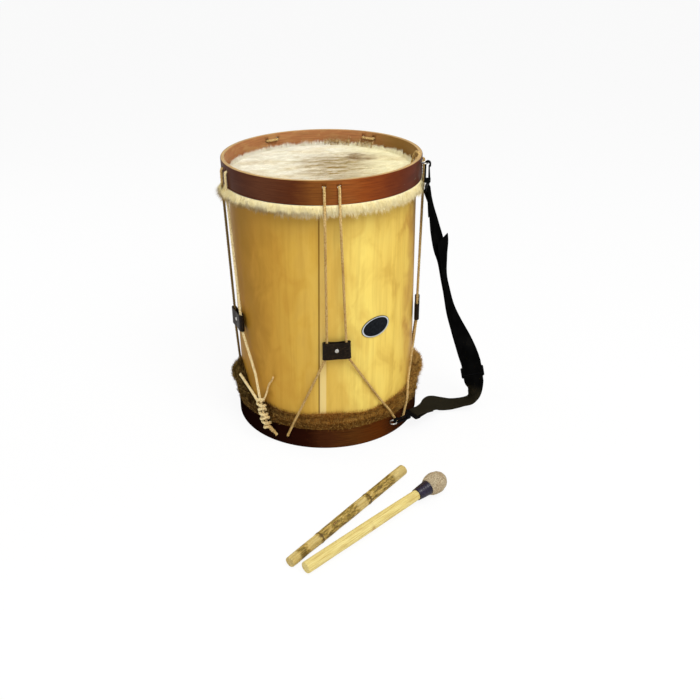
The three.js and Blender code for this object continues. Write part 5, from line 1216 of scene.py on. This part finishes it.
def badge_row(share, height):
    """One oval of the plate, at a share of its size and a height above the shell."""
    turn = np.linspace(0, 2 * math.pi, BADGE_SIDES, endpoint=False)
    tilt = math.radians(BADGE_TILT)
    x, y = share * BADGE_WIDE / 2 * np.cos(turn), share * BADGE_TALL / 2 * np.sin(turn)
    along, up = x * math.cos(tilt) - y * math.sin(tilt), x * math.sin(tilt) + y * math.cos(tilt)
    return around(BADGE_AZIMUTH + np.degrees(along / SHELL_OUTER), SHELL_OUTER + BADGE_OFF_SHELL + height,
                  BADGE_Z + up)


badge_rows = [badge_row(share, BADGE_THICK + BADGE_RIM * rim) for share, rim in BADGE_FRONT_SHARES]
badge_rows += [badge_row(share, 0) for share in BADGE_BACK_SHARES]
badge_along = [*[share for share, rim in BADGE_FRONT_SHARES], *BADGE_BACK_ALONG]
badge = skin("badge_plate", badge_rows, (np.linspace(0, 1, BADGE_SIDES + 1), badge_along))
enamel, tree = surface("black_enamel", 0.3, specular_ior_level=0.04)
share = split(tree, uv_of(tree))["Y"]
dust = grain(tree, object_place(tree), (0.004, 0.004, 0.004), detail=4)
field = ramp(tree, dust, [(0.3, "0a0c10"), (0.75, "1d2126")])
paint(tree, tinted(tree, field, [("c9cdd0", (share, 0.87, 0.9), (share, 0.95, 0.98, 1, 0))]))
dressed(badge, enamel, "drum", "badge")


# Strap hardware: a steel eye screwed into each hoop, and a moulded black snap hook on each, with its sprung
# gate and a loop that turns in its base. The slider that takes in the spare webbing is moulded too.
EYE_WIRE, UPPER_EYE_RING, LOWER_EYE_RING = 1.2 * MM, 5 * MM, 6.5 * MM
EYE_STEPS, EYE_SIDES, SHANK_SIDES = 48, 14, 16
FLAT_ANGLE, MOULDED_SHARP, MOULDED_EASE, MOULDED_EASE_FROM = 2, 40, 0.35 * MM, 35


def eye(name, azimuth, z, ring_radius):
    """A ring that lies flat against the hoop, and the shank that holds it."""
    middle = Vector(around(azimuth, HOOP_OUTER + FIT_GAP + EYE_WIRE + ring_radius, z))
    rows = []
    for s in np.linspace(0, 2 * math.pi, EYE_STEPS, endpoint=False):
        rows.append([middle + Vector(((ring_radius + EYE_WIRE * math.cos(t)) * math.cos(s),
                                      (ring_radius + EYE_WIRE * math.cos(t)) * math.sin(s),
                                      EYE_WIRE * math.sin(t)))
                     for t in np.linspace(0, 2 * math.pi, EYE_SIDES, endpoint=False)])
    ring = skin(f"{name}_ring", rows, loop_rows=True)
    ends = [around(azimuth, r, z) for r in (HOOP_INNER + FIT_GAP, HOOP_OUTER + FIT_GAP + EYE_WIRE)]
    shank = skin(f"{name}_shank", rod(*ends, EYE_WIRE, SHANK_SIDES))
    for piece in (ring, shank):
        dressed(piece, steel, "drum", name)


eye("upper_strap_eye", UPPER_EYE_AZIMUTH, UPPER_EYE_Z, UPPER_EYE_RING)
eye("lower_strap_eye", LOWER_EYE_AZIMUTH, LOWER_EYE_Z, LOWER_EYE_RING)

moulded, tree = surface("moulded_black", 0.5, specular_ior_level=0.03)
scuff = grain(tree, object_place(tree), (0.003, 0.003, 0.006), detail=4, rough=0.6)
paint(tree, ramp(tree, scuff, [(0.35, "060607"), (0.65, "101011"), (0.8, "242425")]))
bump(tree, grain(tree, object_place(tree), (0.0006, 0.0006, 0.0006)), 0.0001, 0.5)
MOULDED = {"upper_hook": "drum", "lower_hook": "drum", "upper_hook_loop": "drum", "lower_hook_loop": "drum",
           "upper_hook_gate": "upper_gate", "lower_hook_gate": "lower_gate", "strap_slider": "slider"}
for name, body in MOULDED.items():
    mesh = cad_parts[name].data.copy()
    mesh.materials.clear()
    form = bmesh.new()
    form.from_mesh(mesh)
    bmesh.ops.remove_doubles(form, verts=form.verts, dist=MERGE_REACH)
    bmesh.ops.dissolve_limit(form, angle_limit=math.radians(FLAT_ANGLE), verts=form.verts, edges=form.edges)
    form.to_mesh(mesh)
    form.free()
    mesh.polygons.foreach_set("use_smooth", [True] * len(mesh.polygons))
    mesh.set_sharp_from_angle(angle=math.radians(MOULDED_SHARP))
    piece = placed(f"{name}_moulding", mesh)
    piece.data.materials.append(moulded)
    ease = piece.modifiers.new("eased", "BEVEL")
    ease.width = MOULDED_EASE
    ease.segments = 2
    ease.angle_limit = math.radians(MOULDED_EASE_FROM)
    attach(piece, body)
    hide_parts(name)


# Strap: 38 mm black webbing. The upper length is sewn round the upper hook's loop and doubled back through
# the slider; the lower one is sewn round the lower hook's loop and ends in a tapered flap over the slider.
WEB_HALF, WEB_THICK, WEB_PINCHED, WEB_PITCH = 19 * MM, 1.5 * MM, 13 * MM, 2 * MM
LOOP_STOCK, LOOP_SLOT, SLIDER_BAR, SLIDER_SLOT, SLIDER_THICK = 3 * MM, 7 * MM, 3 * MM, 7 * MM, 2 * MM
HOOK_REACH, HOOK_BASE = 26 * MM, 8 * MM
SLIDER_AZIMUTH, SLIDER_FROM_HOOP, SLIDER_HEIGHT = -10.1, 109 * MM, 80 * MM
SLIDER_LEAN, SLIDER_WIDTH_ANGLE = 11, -4
LOWER_HOOK_HEADING = 33
UPPER_ROUTE_SHARES = (
    (0.06, 0, 0.05, 74, 0, 0.79), (0.1, 0.01, 0.12, 69, 0, 1), (0.17, 0.04, 0.21, 58, 0, 1),
    (0.25, 0.06, 0.3, 52, 0, 1), (0.31, 0.07, 0.38, 63, 0, 1), (0.36, 0.07, 0.48, 70, 0, 1),
    (0.42, 0.06, 0.56, 69, 0, 1), (0.51, 0.05, 0.67, 62, 0, 1), (0.64, 0.03, 0.77, 48, 0, 1),
    (0.79, 0.02, 0.87, 26, 0, 1), (0.9, 0, 0.95, 6, 0, 1))
LOWER_ROUTE_SHARES = (
    (1.03, -0.03, 1.43, -50, 16, 1), (1.01, -0.02, 0.98, -63, 22, 1), (0.97, 0.01, 0.61, -74, 16, 1),
    (0.89, 0.08, 0.36, -84, 6, 1), (0.77, 0.16, 0.22, -90, -3, 1), (0.64, 0.21, 0.31, -90, -11, 1),
    (0.52, 0.22, 0.5, -82, -15, 1), (0.4, 0.17, 0.71, -72, -10, 0.95), (0.28, 0.09, 0.88, -64, -4, 0.82),
    (0.14, 0.03, 1.02, -58, 0, 0.71))
LOWER_START = (-16, 4)
RUN_STEPS, FOLD_STEPS = 192, 14
LAYER_SHARE, FLAP_SHARE, FLAP_TIP_HALF, FLAP_POWER = 3 / 32, 6 / 32, 3 * MM, 0.9
TAIL_END, TAIL_LOOSE_FROM, TAIL_CURL = 0.235, 0.55, np.array([8.5, -1, 0]) * MM
TANGENT_STEP, LEAST_STEP = 1e-4, 2e-5
SLIDER_BLEND_REACH = 96 * MM


def unit(vector):
    """The vector's direction."""
    return np.asarray(vector, float) / np.linalg.norm(vector)


def heading(azimuth):
    """The level direction at an azimuth."""
    return np.array([math.cos(math.radians(azimuth)), math.sin(math.radians(azimuth)), 0])


def catmull(rows, t):
    """A smooth curve through the rows at a share of its course, as the frame's own strap has it."""
    rows = np.asarray(rows, float)
    place = min(max(t, 0), 1) * (len(rows) - 1)
    k = min(int(place), len(rows) - 2)
    w = place - k
    before = rows[k - 1] if k > 0 else 2 * rows[0] - rows[1]
    after = rows[k + 2] if k + 2 < len(rows) else 2 * rows[-1] - rows[-2]
    a, b = rows[k], rows[k + 1]
    slope_a, slope_b = (b - before) / 2, (after - a) / 2
    square, cube = 3 * (b - a) - 2 * slope_a - slope_b, 2 * (a - b) + slope_a + slope_b
    return a + slope_a * w + square * w * w + cube * w ** 3


def squared(across, along):
    """The direction nearest to the first that is square to the second."""
    return unit(np.asarray(across) - unit(along) * np.dot(across, unit(along)))


def run_station(rows, t, offset=0):
    """The webbing's place, width direction and half width at a share of the run, on its own layer."""
    row = catmull(rows, t)
    along = unit(catmull(rows, t + TANGENT_STEP)[:3] - catmull(rows, t - TANGENT_STEP)[:3])
    turn, tilt = math.radians(row[3]), math.radians(row[4])
    level = math.cos(tilt)
    across = squared((level * math.cos(turn), level * math.sin(turn), math.sin(tilt)), along)
    normal = unit(np.cross(along, across))
    return row[:3] + normal * offset, across, row[5], along


def run(rows, start, end, offset=0):
    """The webbing's stations between two shares of the run."""
    steps = max(2, round(abs(end - start) * RUN_STEPS))
    return [run_station(rows, start + (end - start) * k / steps, offset)[:3] for k in range(steps + 1)]


def fold(bar, over, near, across, radius, half):
    """A half turn round a bar, from its far side over it to its near side."""
    return [(bar - near * radius * math.cos(t) + over * radius * math.sin(t), across, half)
            for t in np.linspace(0, math.pi, FOLD_STEPS + 1)]


def hook_bar(hang, pull_up):
    """The middle of the hook loop's far bar, which the webbing is sewn round."""
    return hang - pull_up * (HOOK_REACH + HOOK_BASE + FIT_GAP + LOOP_STOCK + LOOP_SLOT + LOOP_STOCK / 2)


up = np.array([0, 0, 1])
ring_out = HOOP_OUTER + FIT_GAP + EYE_WIRE
upper_bar = hook_bar(around(UPPER_EYE_AZIMUTH, ring_out + 2 * UPPER_EYE_RING, UPPER_EYE_Z), up)
pull = heading(LOWER_HOOK_HEADING)
lower_eye = around(LOWER_EYE_AZIMUTH, ring_out + LOWER_EYE_RING, LOWER_EYE_Z)
lower_bar = hook_bar(lower_eye + pull * LOWER_EYE_RING, -pull)
loop_fold = LOOP_STOCK * math.sqrt(0.5) + 2 * FIT_GAP + WEB_THICK / 2
bar_fold = math.hypot(SLIDER_BAR, SLIDER_THICK) / 2 + FIT_GAP + WEB_THICK / 2
lean = math.radians(SLIDER_LEAN)
down = np.array([math.sin(lean), 0, -math.cos(lean)])
across = squared(heading(SLIDER_WIDTH_ANGLE), down)
facing = unit(np.cross(down, across))
slider = around(SLIDER_AZIMUTH, HOOP_OUTER + SLIDER_FROM_HOOP, SLIDER_HEIGHT)
pitch = SLIDER_BAR + SLIDER_SLOT


def route_row(bar, z, row):
    """A row of a route: its shares of the line from the bar to the slider, and how the webbing lies."""
    line = (slider - bar) * [1, 1, 0]
    place = np.array([bar[0], bar[1], z]) + line * row[0] + np.array([-line[1], line[0], 0]) * row[1]
    return [*place, row[3], row[4], WEB_HALF * row[5]]


def at(along, out_by):
    """A station on the slider."""
    return slider + down * along + facing * out_by, across, WEB_HALF


above = at(-pitch * 2, -WEB_PITCH / 2)[0]
below = at(pitch * 2, -WEB_PITCH / 2)[0]
drop = upper_bar[2] - above[2]
upper_rows = [route_row(upper_bar, upper_bar[2] - drop * row[2], row) for row in UPPER_ROUTE_SHARES]
upper_rows.append([*above, SLIDER_WIDTH_ANGLE, 0, WEB_HALF])
lower_rows = [[*below, *LOWER_START, WEB_HALF]]
lower_rows += [route_row(lower_bar, LOWER_EYE_Z * row[2], row) for row in LOWER_ROUTE_SHARES]

_, width_way, _, along = run_station(upper_rows, 0)
outwards = unit(np.cross(along, width_way))
upper_stations = run(upper_rows, LAYER_SHARE, 0, -WEB_PITCH)
upper_stations += fold(upper_bar, up, outwards, heading(UPPER_EYE_AZIMUTH + 90), loop_fold, WEB_PINCHED)
upper_stations += run(upper_rows, 0, 1)
upper_stations += [at(-pitch, -bar_fold), *fold(slider, down, facing, across, bar_fold, WEB_HALF)]
# The free tail goes far up the webbing, and its end curls off to the right
tail = run(upper_rows, 1, TAIL_END, WEB_PITCH)
for k, (place, width_way, half) in enumerate(tail):
    t = 1 - (1 - TAIL_END) * k / (len(tail) - 1)
    loose = max(0, (TAIL_LOOSE_FROM - t) / (TAIL_LOOSE_FROM - TAIL_END))
    tail[k] = (place + TAIL_CURL * loose ** 2, width_way, half)
upper_stations += [at(-pitch, bar_fold), *tail]

lower_stations = run(lower_rows, FLAP_SHARE, 0, WEB_PITCH)
for k, (place, width_way, half) in enumerate(lower_stations):
    taper = (1 - k / len(lower_stations)) ** FLAP_POWER
    lower_stations[k] = (place, width_way, half - (half - FLAP_TIP_HALF) * taper)
lower_stations += fold(slider + down * pitch, -down, facing, across, bar_fold, WEB_HALF)[::-1]
lower_stations += run(lower_rows, 0, 1)
lower_stations += fold(lower_bar, -pull, -up, heading(LOWER_HOOK_HEADING - 90), loop_fold, WEB_PINCHED)
lower_stations += run(lower_rows, 1, 1 - LAYER_SHARE, -WEB_PITCH)

WEB_ACROSS = np.array([-1, -0.985, -0.955, -0.5, 0, 0.5, 0.955, 0.985, 1])
WEB_FACE = np.array([0, 0.7, 1, 1, 1, 1, 1, 0.7, 0]) * WEB_THICK / 2


def webbing(name, stations):
    """A closed flat band through the stations, and its length."""
    places = np.array([station[0] for station in stations])
    kept = np.concatenate([[True], np.linalg.norm(np.diff(places, axis=0), axis=1) > LEAST_STEP])
    stations = [station for station, keep in zip(stations, kept) if keep]
    places = places[kept]
    along = np.gradient(places, axis=0)
    columns_across = np.concatenate([WEB_ACROSS, WEB_ACROSS[-2:0:-1]])
    columns_face = np.concatenate([WEB_FACE, -WEB_FACE[-2:0:-1]])
    rows = []
    for (place, width_way, half), way in zip(stations, along):
        normal = unit(np.cross(way, width_way))
        rows.append(place + np.outer(columns_across * half, width_way) + np.outer(columns_face, normal))
    far = np.concatenate([[0], np.cumsum(np.linalg.norm(np.diff(places, axis=0), axis=1))])
    face_u = np.append(columns_across, columns_across[0]) * WEB_HALF
    made = skin(name, rows, (face_u, np.append(far, far[-1])), sharp=50)
    return made, far[-1]


RIB_PITCH, YARN_PITCH = 1.4 * MM, 2.2 * MM
web, tree = surface("black_webbing", 0.95, specular_ior_level=0)
thread = split(tree, uv_of(tree))
ribs = calc(tree, "SINE", calc(tree, "MULTIPLY", thread["Y"], 2 * math.pi / RIB_PITCH))
yarns = calc(tree, "SINE", calc(tree, "MULTIPLY", thread["X"], 2 * math.pi / YARN_PITCH))
weave = calc(tree, "MULTIPLY", ribs, yarns)
wear = grain(tree, object_place(tree), (0.02, 0.02, 0.03), detail=3)
colour = ramp(tree, wear, [(0.35, "050505"), (0.6, "0a0a0a"), (0.8, "171613")])
# The lowest webbing, near the lower hook, is lighter olive: painted light on its lit inner face.
paint(tree, tinted(tree, colour, [
    ("2f2b20", (about_axis(tree)["Z"], 0.035, 0.055, 0.75, 0)), ("201e1b", (weave, 0.2, 1, 0, 0.25))]))
bump(tree, weave, 0.0003, 0.5)

# Thin black webs close the slots where the webbing is folded too tightly to see through
SLOT_WEB_HALF = 0.6 * MM
SLIDER_SLOT_WEB_HALF, SLIDER_SLOT_WEB_SPARE = 1.9 * MM, 2.4 * MM
SLIDER_SIDE_WEB_OUT, SLIDER_SIDE_WEB_HALF = 0.9 * MM, 1.7 * MM
LOOP_WEB_FROM_BAR, LOOP_WEB_HALF = 6.2 * MM, 2.4 * MM


def slot_web(name, middle, along, half_along, wide, half_wide, body, node_name):
    """A thin flat block that closes a slot, with its faces along the slot and across it."""
    through = unit(np.cross(along, wide)) * SLOT_WEB_HALF
    rows = [[middle + wide * half_wide * side + along * half_along * a + through * b
             for a, b in SQUARE_CORNERS] for side in (-1, 1)]
    piece = skin(name, rows)
    dressed(piece, moulded, body, node_name)


slot_web("slider_slot_web", slider + down * pitch / 2, down, SLIDER_SLOT_WEB_HALF, across,
         WEB_HALF + SLIDER_SLOT_WEB_SPARE, "slider", "strap_slider")
for side, name in ((-1, "slider_web_left"), (1, "slider_web_right")):
    slot_web(name, slider + across * side * (WEB_HALF + SLIDER_SIDE_WEB_OUT), down, pitch, across,
             SLIDER_SIDE_WEB_HALF, "slider", "strap_slider")
slot_web("upper_loop_web", upper_bar + up * LOOP_WEB_FROM_BAR, up, LOOP_WEB_HALF,
         heading(UPPER_EYE_AZIMUTH + 90), WEB_PINCHED, "drum", "upper_hook_loop")
slot_web("lower_loop_web", lower_bar - pull * LOOP_WEB_FROM_BAR, pull, LOOP_WEB_HALF,
         heading(LOWER_HOOK_HEADING - 90), WEB_PINCHED, "drum", "lower_hook_loop")
for name, stations, rests in (("strap_upper_webbing", upper_stations, ["upper_hook_loop", "strap_slider"]),
                              ("strap_lower_webbing", lower_stations, ["lower_hook_loop", "strap_slider"])):
    band, length = webbing(f"{name}_band", stations)
    band.data.materials.append(web)
    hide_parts(name)
    side = -1 if name.startswith("strap_upper") else 1
    near, distant = pitch * 2 * side, (pitch * 2 + SLIDER_BLEND_REACH) * side
    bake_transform(band)


# Stick: a length of cane with two nodes, yellow where it is scraped and olive where the bark is left on.
# It is cut square at both ends and lies loose on the floor.
STICK_LENGTH, STICK_RADIUS, STICK_HEADING = 292 * MM, 9.9 * MM, 48.8
STICK_END = (-69 * MM, -483 * MM)
STICK_SHARES = ((0, 0.8), (0.004, 0.84), (0.215, 0.87), (0.235, 0.94), (0.25, 0.88), (0.45, 0.93),
                (0.63, 0.94), (0.65, 1), (0.665, 0.94), (0.995, 0.95), (1, 0.91))
STICK_NODE_SHARES = ((0.235, 0.94), (0.65, 1))
STICK_WOBBLE, STICK_WOBBLE_RATE, BEATER_ROUND_RATE = 0.35 * MM, 40, 1.5
BARE_SHARES = ((-0.05, 0.07), (0.12, 0.228), (0.53, 0.635), (0.87, 1.05))
STICK_ROWS, BEATER_COLUMNS, END_RING_SHARE = 140, 48, 0.6


def beater_frame(end, heading_degrees, low_end, slope):
    """The place of a beater that lies on the floor: its own z runs along it."""
    turn = math.radians(heading_degrees)
    along = Vector((math.cos(turn), math.sin(turn), math.tan(slope))).normalized()
    side = Vector((-math.sin(turn), math.cos(turn), 0))
    third = -side.cross(along)
    turned = Matrix((third, side, along)).transposed().to_4x4()
    return Matrix.Translation((AXIS.x + end[0], AXIS.y + end[1], low_end)) @ turned


def turned_piece(name, place, profile, wobble, rate):
    """A profile of distances and radii turned about a beater's own axis, with a gentle unevenness."""
    rows = []
    for s, r in profile:
        row = []
        for t in np.linspace(0, 2 * math.pi, BEATER_COLUMNS, endpoint=False):
            way = Vector((math.cos(t), math.sin(t), 0))
            spot = Vector((way.x * BEATER_ROUND_RATE, way.y * BEATER_ROUND_RATE, s * rate))
            push = wobble * noise.noise(spot) if r > 0 else 0
            row.append(place @ (way * (r + push) + Vector((0, 0, s))))
        rows.append(row)
    biggest = max(r for s, r in profile)
    across = np.linspace(0, 2 * math.pi, BEATER_COLUMNS + 1) * biggest
    along = [s for s, r in profile] + [profile[-1][0]]
    return skin(name, rows, (across, along))


def profile_at(shares, length, radius, rows):
    """The shares as an even run of distances and radii, closed at both ends."""
    places = np.linspace(shares[0][0], shares[-1][0], rows)
    places = np.sort(np.unique(np.concatenate([places, [s for s, r in shares]])))
    radii = np.interp(places, [s for s, r in shares], [r for s, r in shares])
    line = [(s * length, r * radius) for s, r in zip(places, radii)]
    (low, low_radius), (high, high_radius) = line[0], line[-1]
    return [(low, 0), (low, low_radius * END_RING_SHARE), *line, (high, high_radius * END_RING_SHARE),
            (high, 0)]


rise = (STICK_NODE_SHARES[1][1] - STICK_NODE_SHARES[0][1]) * STICK_RADIUS
slope = rise / ((STICK_NODE_SHARES[1][0] - STICK_NODE_SHARES[0][0]) * STICK_LENGTH)
stick_low = STICK_RADIUS * STICK_NODE_SHARES[0][1] - slope * STICK_LENGTH * STICK_NODE_SHARES[0][0]
stick_place = beater_frame(STICK_END, STICK_HEADING, stick_low, math.atan(slope))
stick_profile = profile_at(STICK_SHARES, STICK_LENGTH, STICK_RADIUS, STICK_ROWS)
stick = turned_piece("stick_cane", stick_place, stick_profile, STICK_WOBBLE, STICK_WOBBLE_RATE)
cane, tree = surface("cane", 0.5, specular_ior_level=0.2)
bark_uv = uv_of(tree)
along = split(tree, bark_uv)["Y"]
stripe = grain(tree, bark_uv, (0.0035, 0.05, 1), detail=4, rough=0.6, distortion=0.4)
blotch = grain(tree, bark_uv, (0.005, 0.016, 1), detail=5, rough=0.7)
plain = ramp(tree, stripe, [(0.3, "e0cc8c"), (0.5, "cdb570"), (0.72, "a98f4e")])
bark = ramp(tree, blotch, [
    (0.32, "d8bf7a"), (0.44, "b3944c"), (0.52, "8a7434"), (0.6, "5c4a1e"), (0.7, "a87c48")])
bark_share = between(tree, blotch, 0.3, 0.45, 0.35, 1)
for low, high in BARE_SHARES:
    bare = where(tree, (along, low * STICK_LENGTH, (low + 0.03) * STICK_LENGTH),
                 (along, (high - 0.02) * STICK_LENGTH, high * STICK_LENGTH, 1, 0))
    kept = calc(tree, "SUBTRACT", 1, calc(tree, "MULTIPLY", bare, 0.8))
    bark_share = calc(tree, "MULTIPLY", bark_share, kept)
colour = mix(tree, bark_share, plain, bark)
for middle, _ in STICK_NODE_SHARES:
    near = calc(tree, "ABSOLUTE", calc(tree, "SUBTRACT", along, middle * STICK_LENGTH))
    colour = tinted(tree, colour, [("4d3a16", (near, 0.0008, 0.003, 0.8, 0))])
paint(tree, colour)
bump(tree, stripe, 0.0004, 0.6)
dressed(stick, cane, "stick", "stick")


# Mallet: a smooth pale wooden handle and a head of tan felt drawn over its end, with black tape wound round
# the head's neck. It lies loose beside the stick.
MALLET_LENGTH, HANDLE_RADIUS, HEAD_RADIUS, MALLET_HEADING = 307 * MM, 9.5 * MM, 19 * MM, 39.9
MALLET_END = (-45.6 * MM, -497 * MM)
MALLET_WIDEST_SHARE = 0.92
HANDLE_SHARES = ((0, 0.93), (0.005, 1), (0.4, 0.99), (0.7, 0.93), (0.8, 0.87), (0.925, 0.85))
TAPE_OUTSIDE_SHARES = ((0.778, 0.515), (0.79, 0.53), (0.8, 0.56), (0.84, 0.61), (0.865, 0.655))
TAPE_INSIDE_SHARES = ((0.865, 0.585), (0.84, 0.545), (0.8, 0.5), (0.79, 0.47), (0.778, 0.46))
HEAD_OUTSIDE_SHARES = ((0.797, 0.452), (0.802, 0.482), (0.84, 0.527), (0.864, 0.56), (0.865, 0.72),
                       (0.88, 0.86), (0.91, 0.96), (0.938, 0.95), (0.96, 0.84), (0.978, 0.66), (0.992, 0.4),
                       (1, 0))
TAPE_TURN, TAPE_LAP, TAPE_ROWS = 4.2 * MM, 0.5 * MM, 60
HANDLE_ROWS, HANDLE_WOBBLE, HANDLE_WOBBLE_RATE, HANDLE_KNOT_SHARE = 80, 0.12 * MM, 25, 0.43
HEAD_ROWS, HEAD_COLUMNS, HEAD_LUMPS, HEAD_LUMP_RATE = 70, 64, 0.8 * MM, 150
HEAD_LUMPS_FROM_SHARE, HEAD_SOCKET_SHARES, HEAD_ROUND_RATE = 0.55, (0.93, 0.452), 3
mallet_slope = math.atan((HEAD_RADIUS - HANDLE_RADIUS) / (MALLET_LENGTH * MALLET_WIDEST_SHARE))
mallet_place = beater_frame(MALLET_END, MALLET_HEADING, HANDLE_RADIUS, mallet_slope)
handle_profile = profile_at(HANDLE_SHARES, MALLET_LENGTH, HANDLE_RADIUS, HANDLE_ROWS)
handle = turned_piece("mallet_shaft", mallet_place, handle_profile, HANDLE_WOBBLE, HANDLE_WOBBLE_RATE)
pale, tree = surface("pale_handle", 0.5, specular_ior_level=0.2)
wood_uv = uv_of(tree)
fibre = grain(tree, wood_uv, (0.0016, 0.05, 1), detail=4, rough=0.6)
broad = grain(tree, wood_uv, (0.012, 0.04, 1), detail=2)
knot_far = HANDLE_KNOT_SHARE * MALLET_LENGTH
knot_away = calc(tree, "ABSOLUTE", calc(tree, "SUBTRACT", split(tree, wood_uv)["Y"], knot_far))
colour = ramp(tree, fibre, [(0.3, "eadc98"), (0.5, "dcc87c"), (0.72, "b4964a")])
paint(tree, tinted(tree, colour, [
    ("b08a48", (broad, 0.5, 0.75, 0, 0.4)),
    ("94652e", (knot_away, 0.001, 0.005, 1, 0), (broad, 0.5, 0.6, 0.1, 0.5))]))
bump(tree, fibre, 0.0002, 0.5)
dressed(handle, pale, "mallet", "mallet_handle")

tape_far = np.linspace(TAPE_OUTSIDE_SHARES[0][0], TAPE_OUTSIDE_SHARES[-1][0], TAPE_ROWS)
tape_out = np.interp(tape_far, *zip(*TAPE_OUTSIDE_SHARES)) * HEAD_RADIUS
tape_step = (tape_far * MALLET_LENGTH % TAPE_TURN) / TAPE_TURN
tape_out = tape_out + (tape_step - 0.5) * TAPE_LAP
tape_profile = [*zip(tape_far * MALLET_LENGTH, tape_out)]
tape_profile += [(s * MALLET_LENGTH, r * HEAD_RADIUS) for s, r in TAPE_INSIDE_SHARES]
rows = []
for s, r in tape_profile:
    rows.append([mallet_place @ Vector((r * math.cos(t), r * math.sin(t), s))
                 for t in np.linspace(0, 2 * math.pi, BEATER_COLUMNS, endpoint=False)])
tape = skin("mallet_binding", rows, loop_rows=True)
binding, tree = surface("black_tape", 0.25, specular_ior_level=0.3)
crease = grain(tree, object_place(tree), (0.003, 0.003, 0.003), detail=4, rough=0.6)
paint(tree, ramp(tree, crease, [(0.35, "120c1c"), (0.6, "1f1730"), (0.8, "3d3550")]))
bump(tree, crease, 0.0004, 0.6)
dressed(tape, binding, "mallet", "mallet_tape")

head_far = np.linspace(0, 1, HEAD_ROWS)
head_lengths = np.concatenate([[0], np.cumsum(np.hypot(*np.diff(np.array(HEAD_OUTSIDE_SHARES), axis=0).T))])
head_lengths /= head_lengths[-1]
head_s = np.interp(head_far, head_lengths, [s for s, r in HEAD_OUTSIDE_SHARES]) * MALLET_LENGTH
head_r = np.interp(head_far, head_lengths, [r for s, r in HEAD_OUTSIDE_SHARES]) * HEAD_RADIUS
socket_s, socket_r = HEAD_SOCKET_SHARES[0] * MALLET_LENGTH, HEAD_SOCKET_SHARES[1] * HEAD_RADIUS
head_profile = [*zip(head_s, head_r), (socket_s, 0), (socket_s, socket_r)]
rows = []
for s, r in head_profile:
    row = []
    for t in np.linspace(0, 2 * math.pi, HEAD_COLUMNS, endpoint=False):
        way = Vector((math.cos(t), math.sin(t), 0))
        push = 0
        if r > HEAD_LUMPS_FROM_SHARE * HEAD_RADIUS:
            spot = Vector((way.x * HEAD_ROUND_RATE, way.y * HEAD_ROUND_RATE, s * HEAD_LUMP_RATE))
            push = HEAD_LUMPS * noise.noise(spot)
        row.append(mallet_place @ (way * (r + push) + Vector((0, 0, s))))
    rows.append(row)
head = skin("mallet_felt", rows, loop_rows=True, sharp=60)
felt, tree = surface("tan_felt", 0.95, specular_ior_level=0.1)
speck = grain(tree, object_place(tree), (0.0014, 0.0014, 0.0014), detail=4, rough=0.7)
soil = grain(tree, object_place(tree), (0.01, 0.01, 0.01), detail=3)
colour = ramp(tree, speck, [(0.34, "6a5a44"), (0.48, "a8977a"), (0.66, "dccdaa")])
paint(tree, tinted(tree, colour, [("927450", (soil, 0.45, 0.7, 0, 0.35))]))
bump(tree, speck, 0.0008, 0.8)
dressed(head, felt, "mallet", "mallet_head")
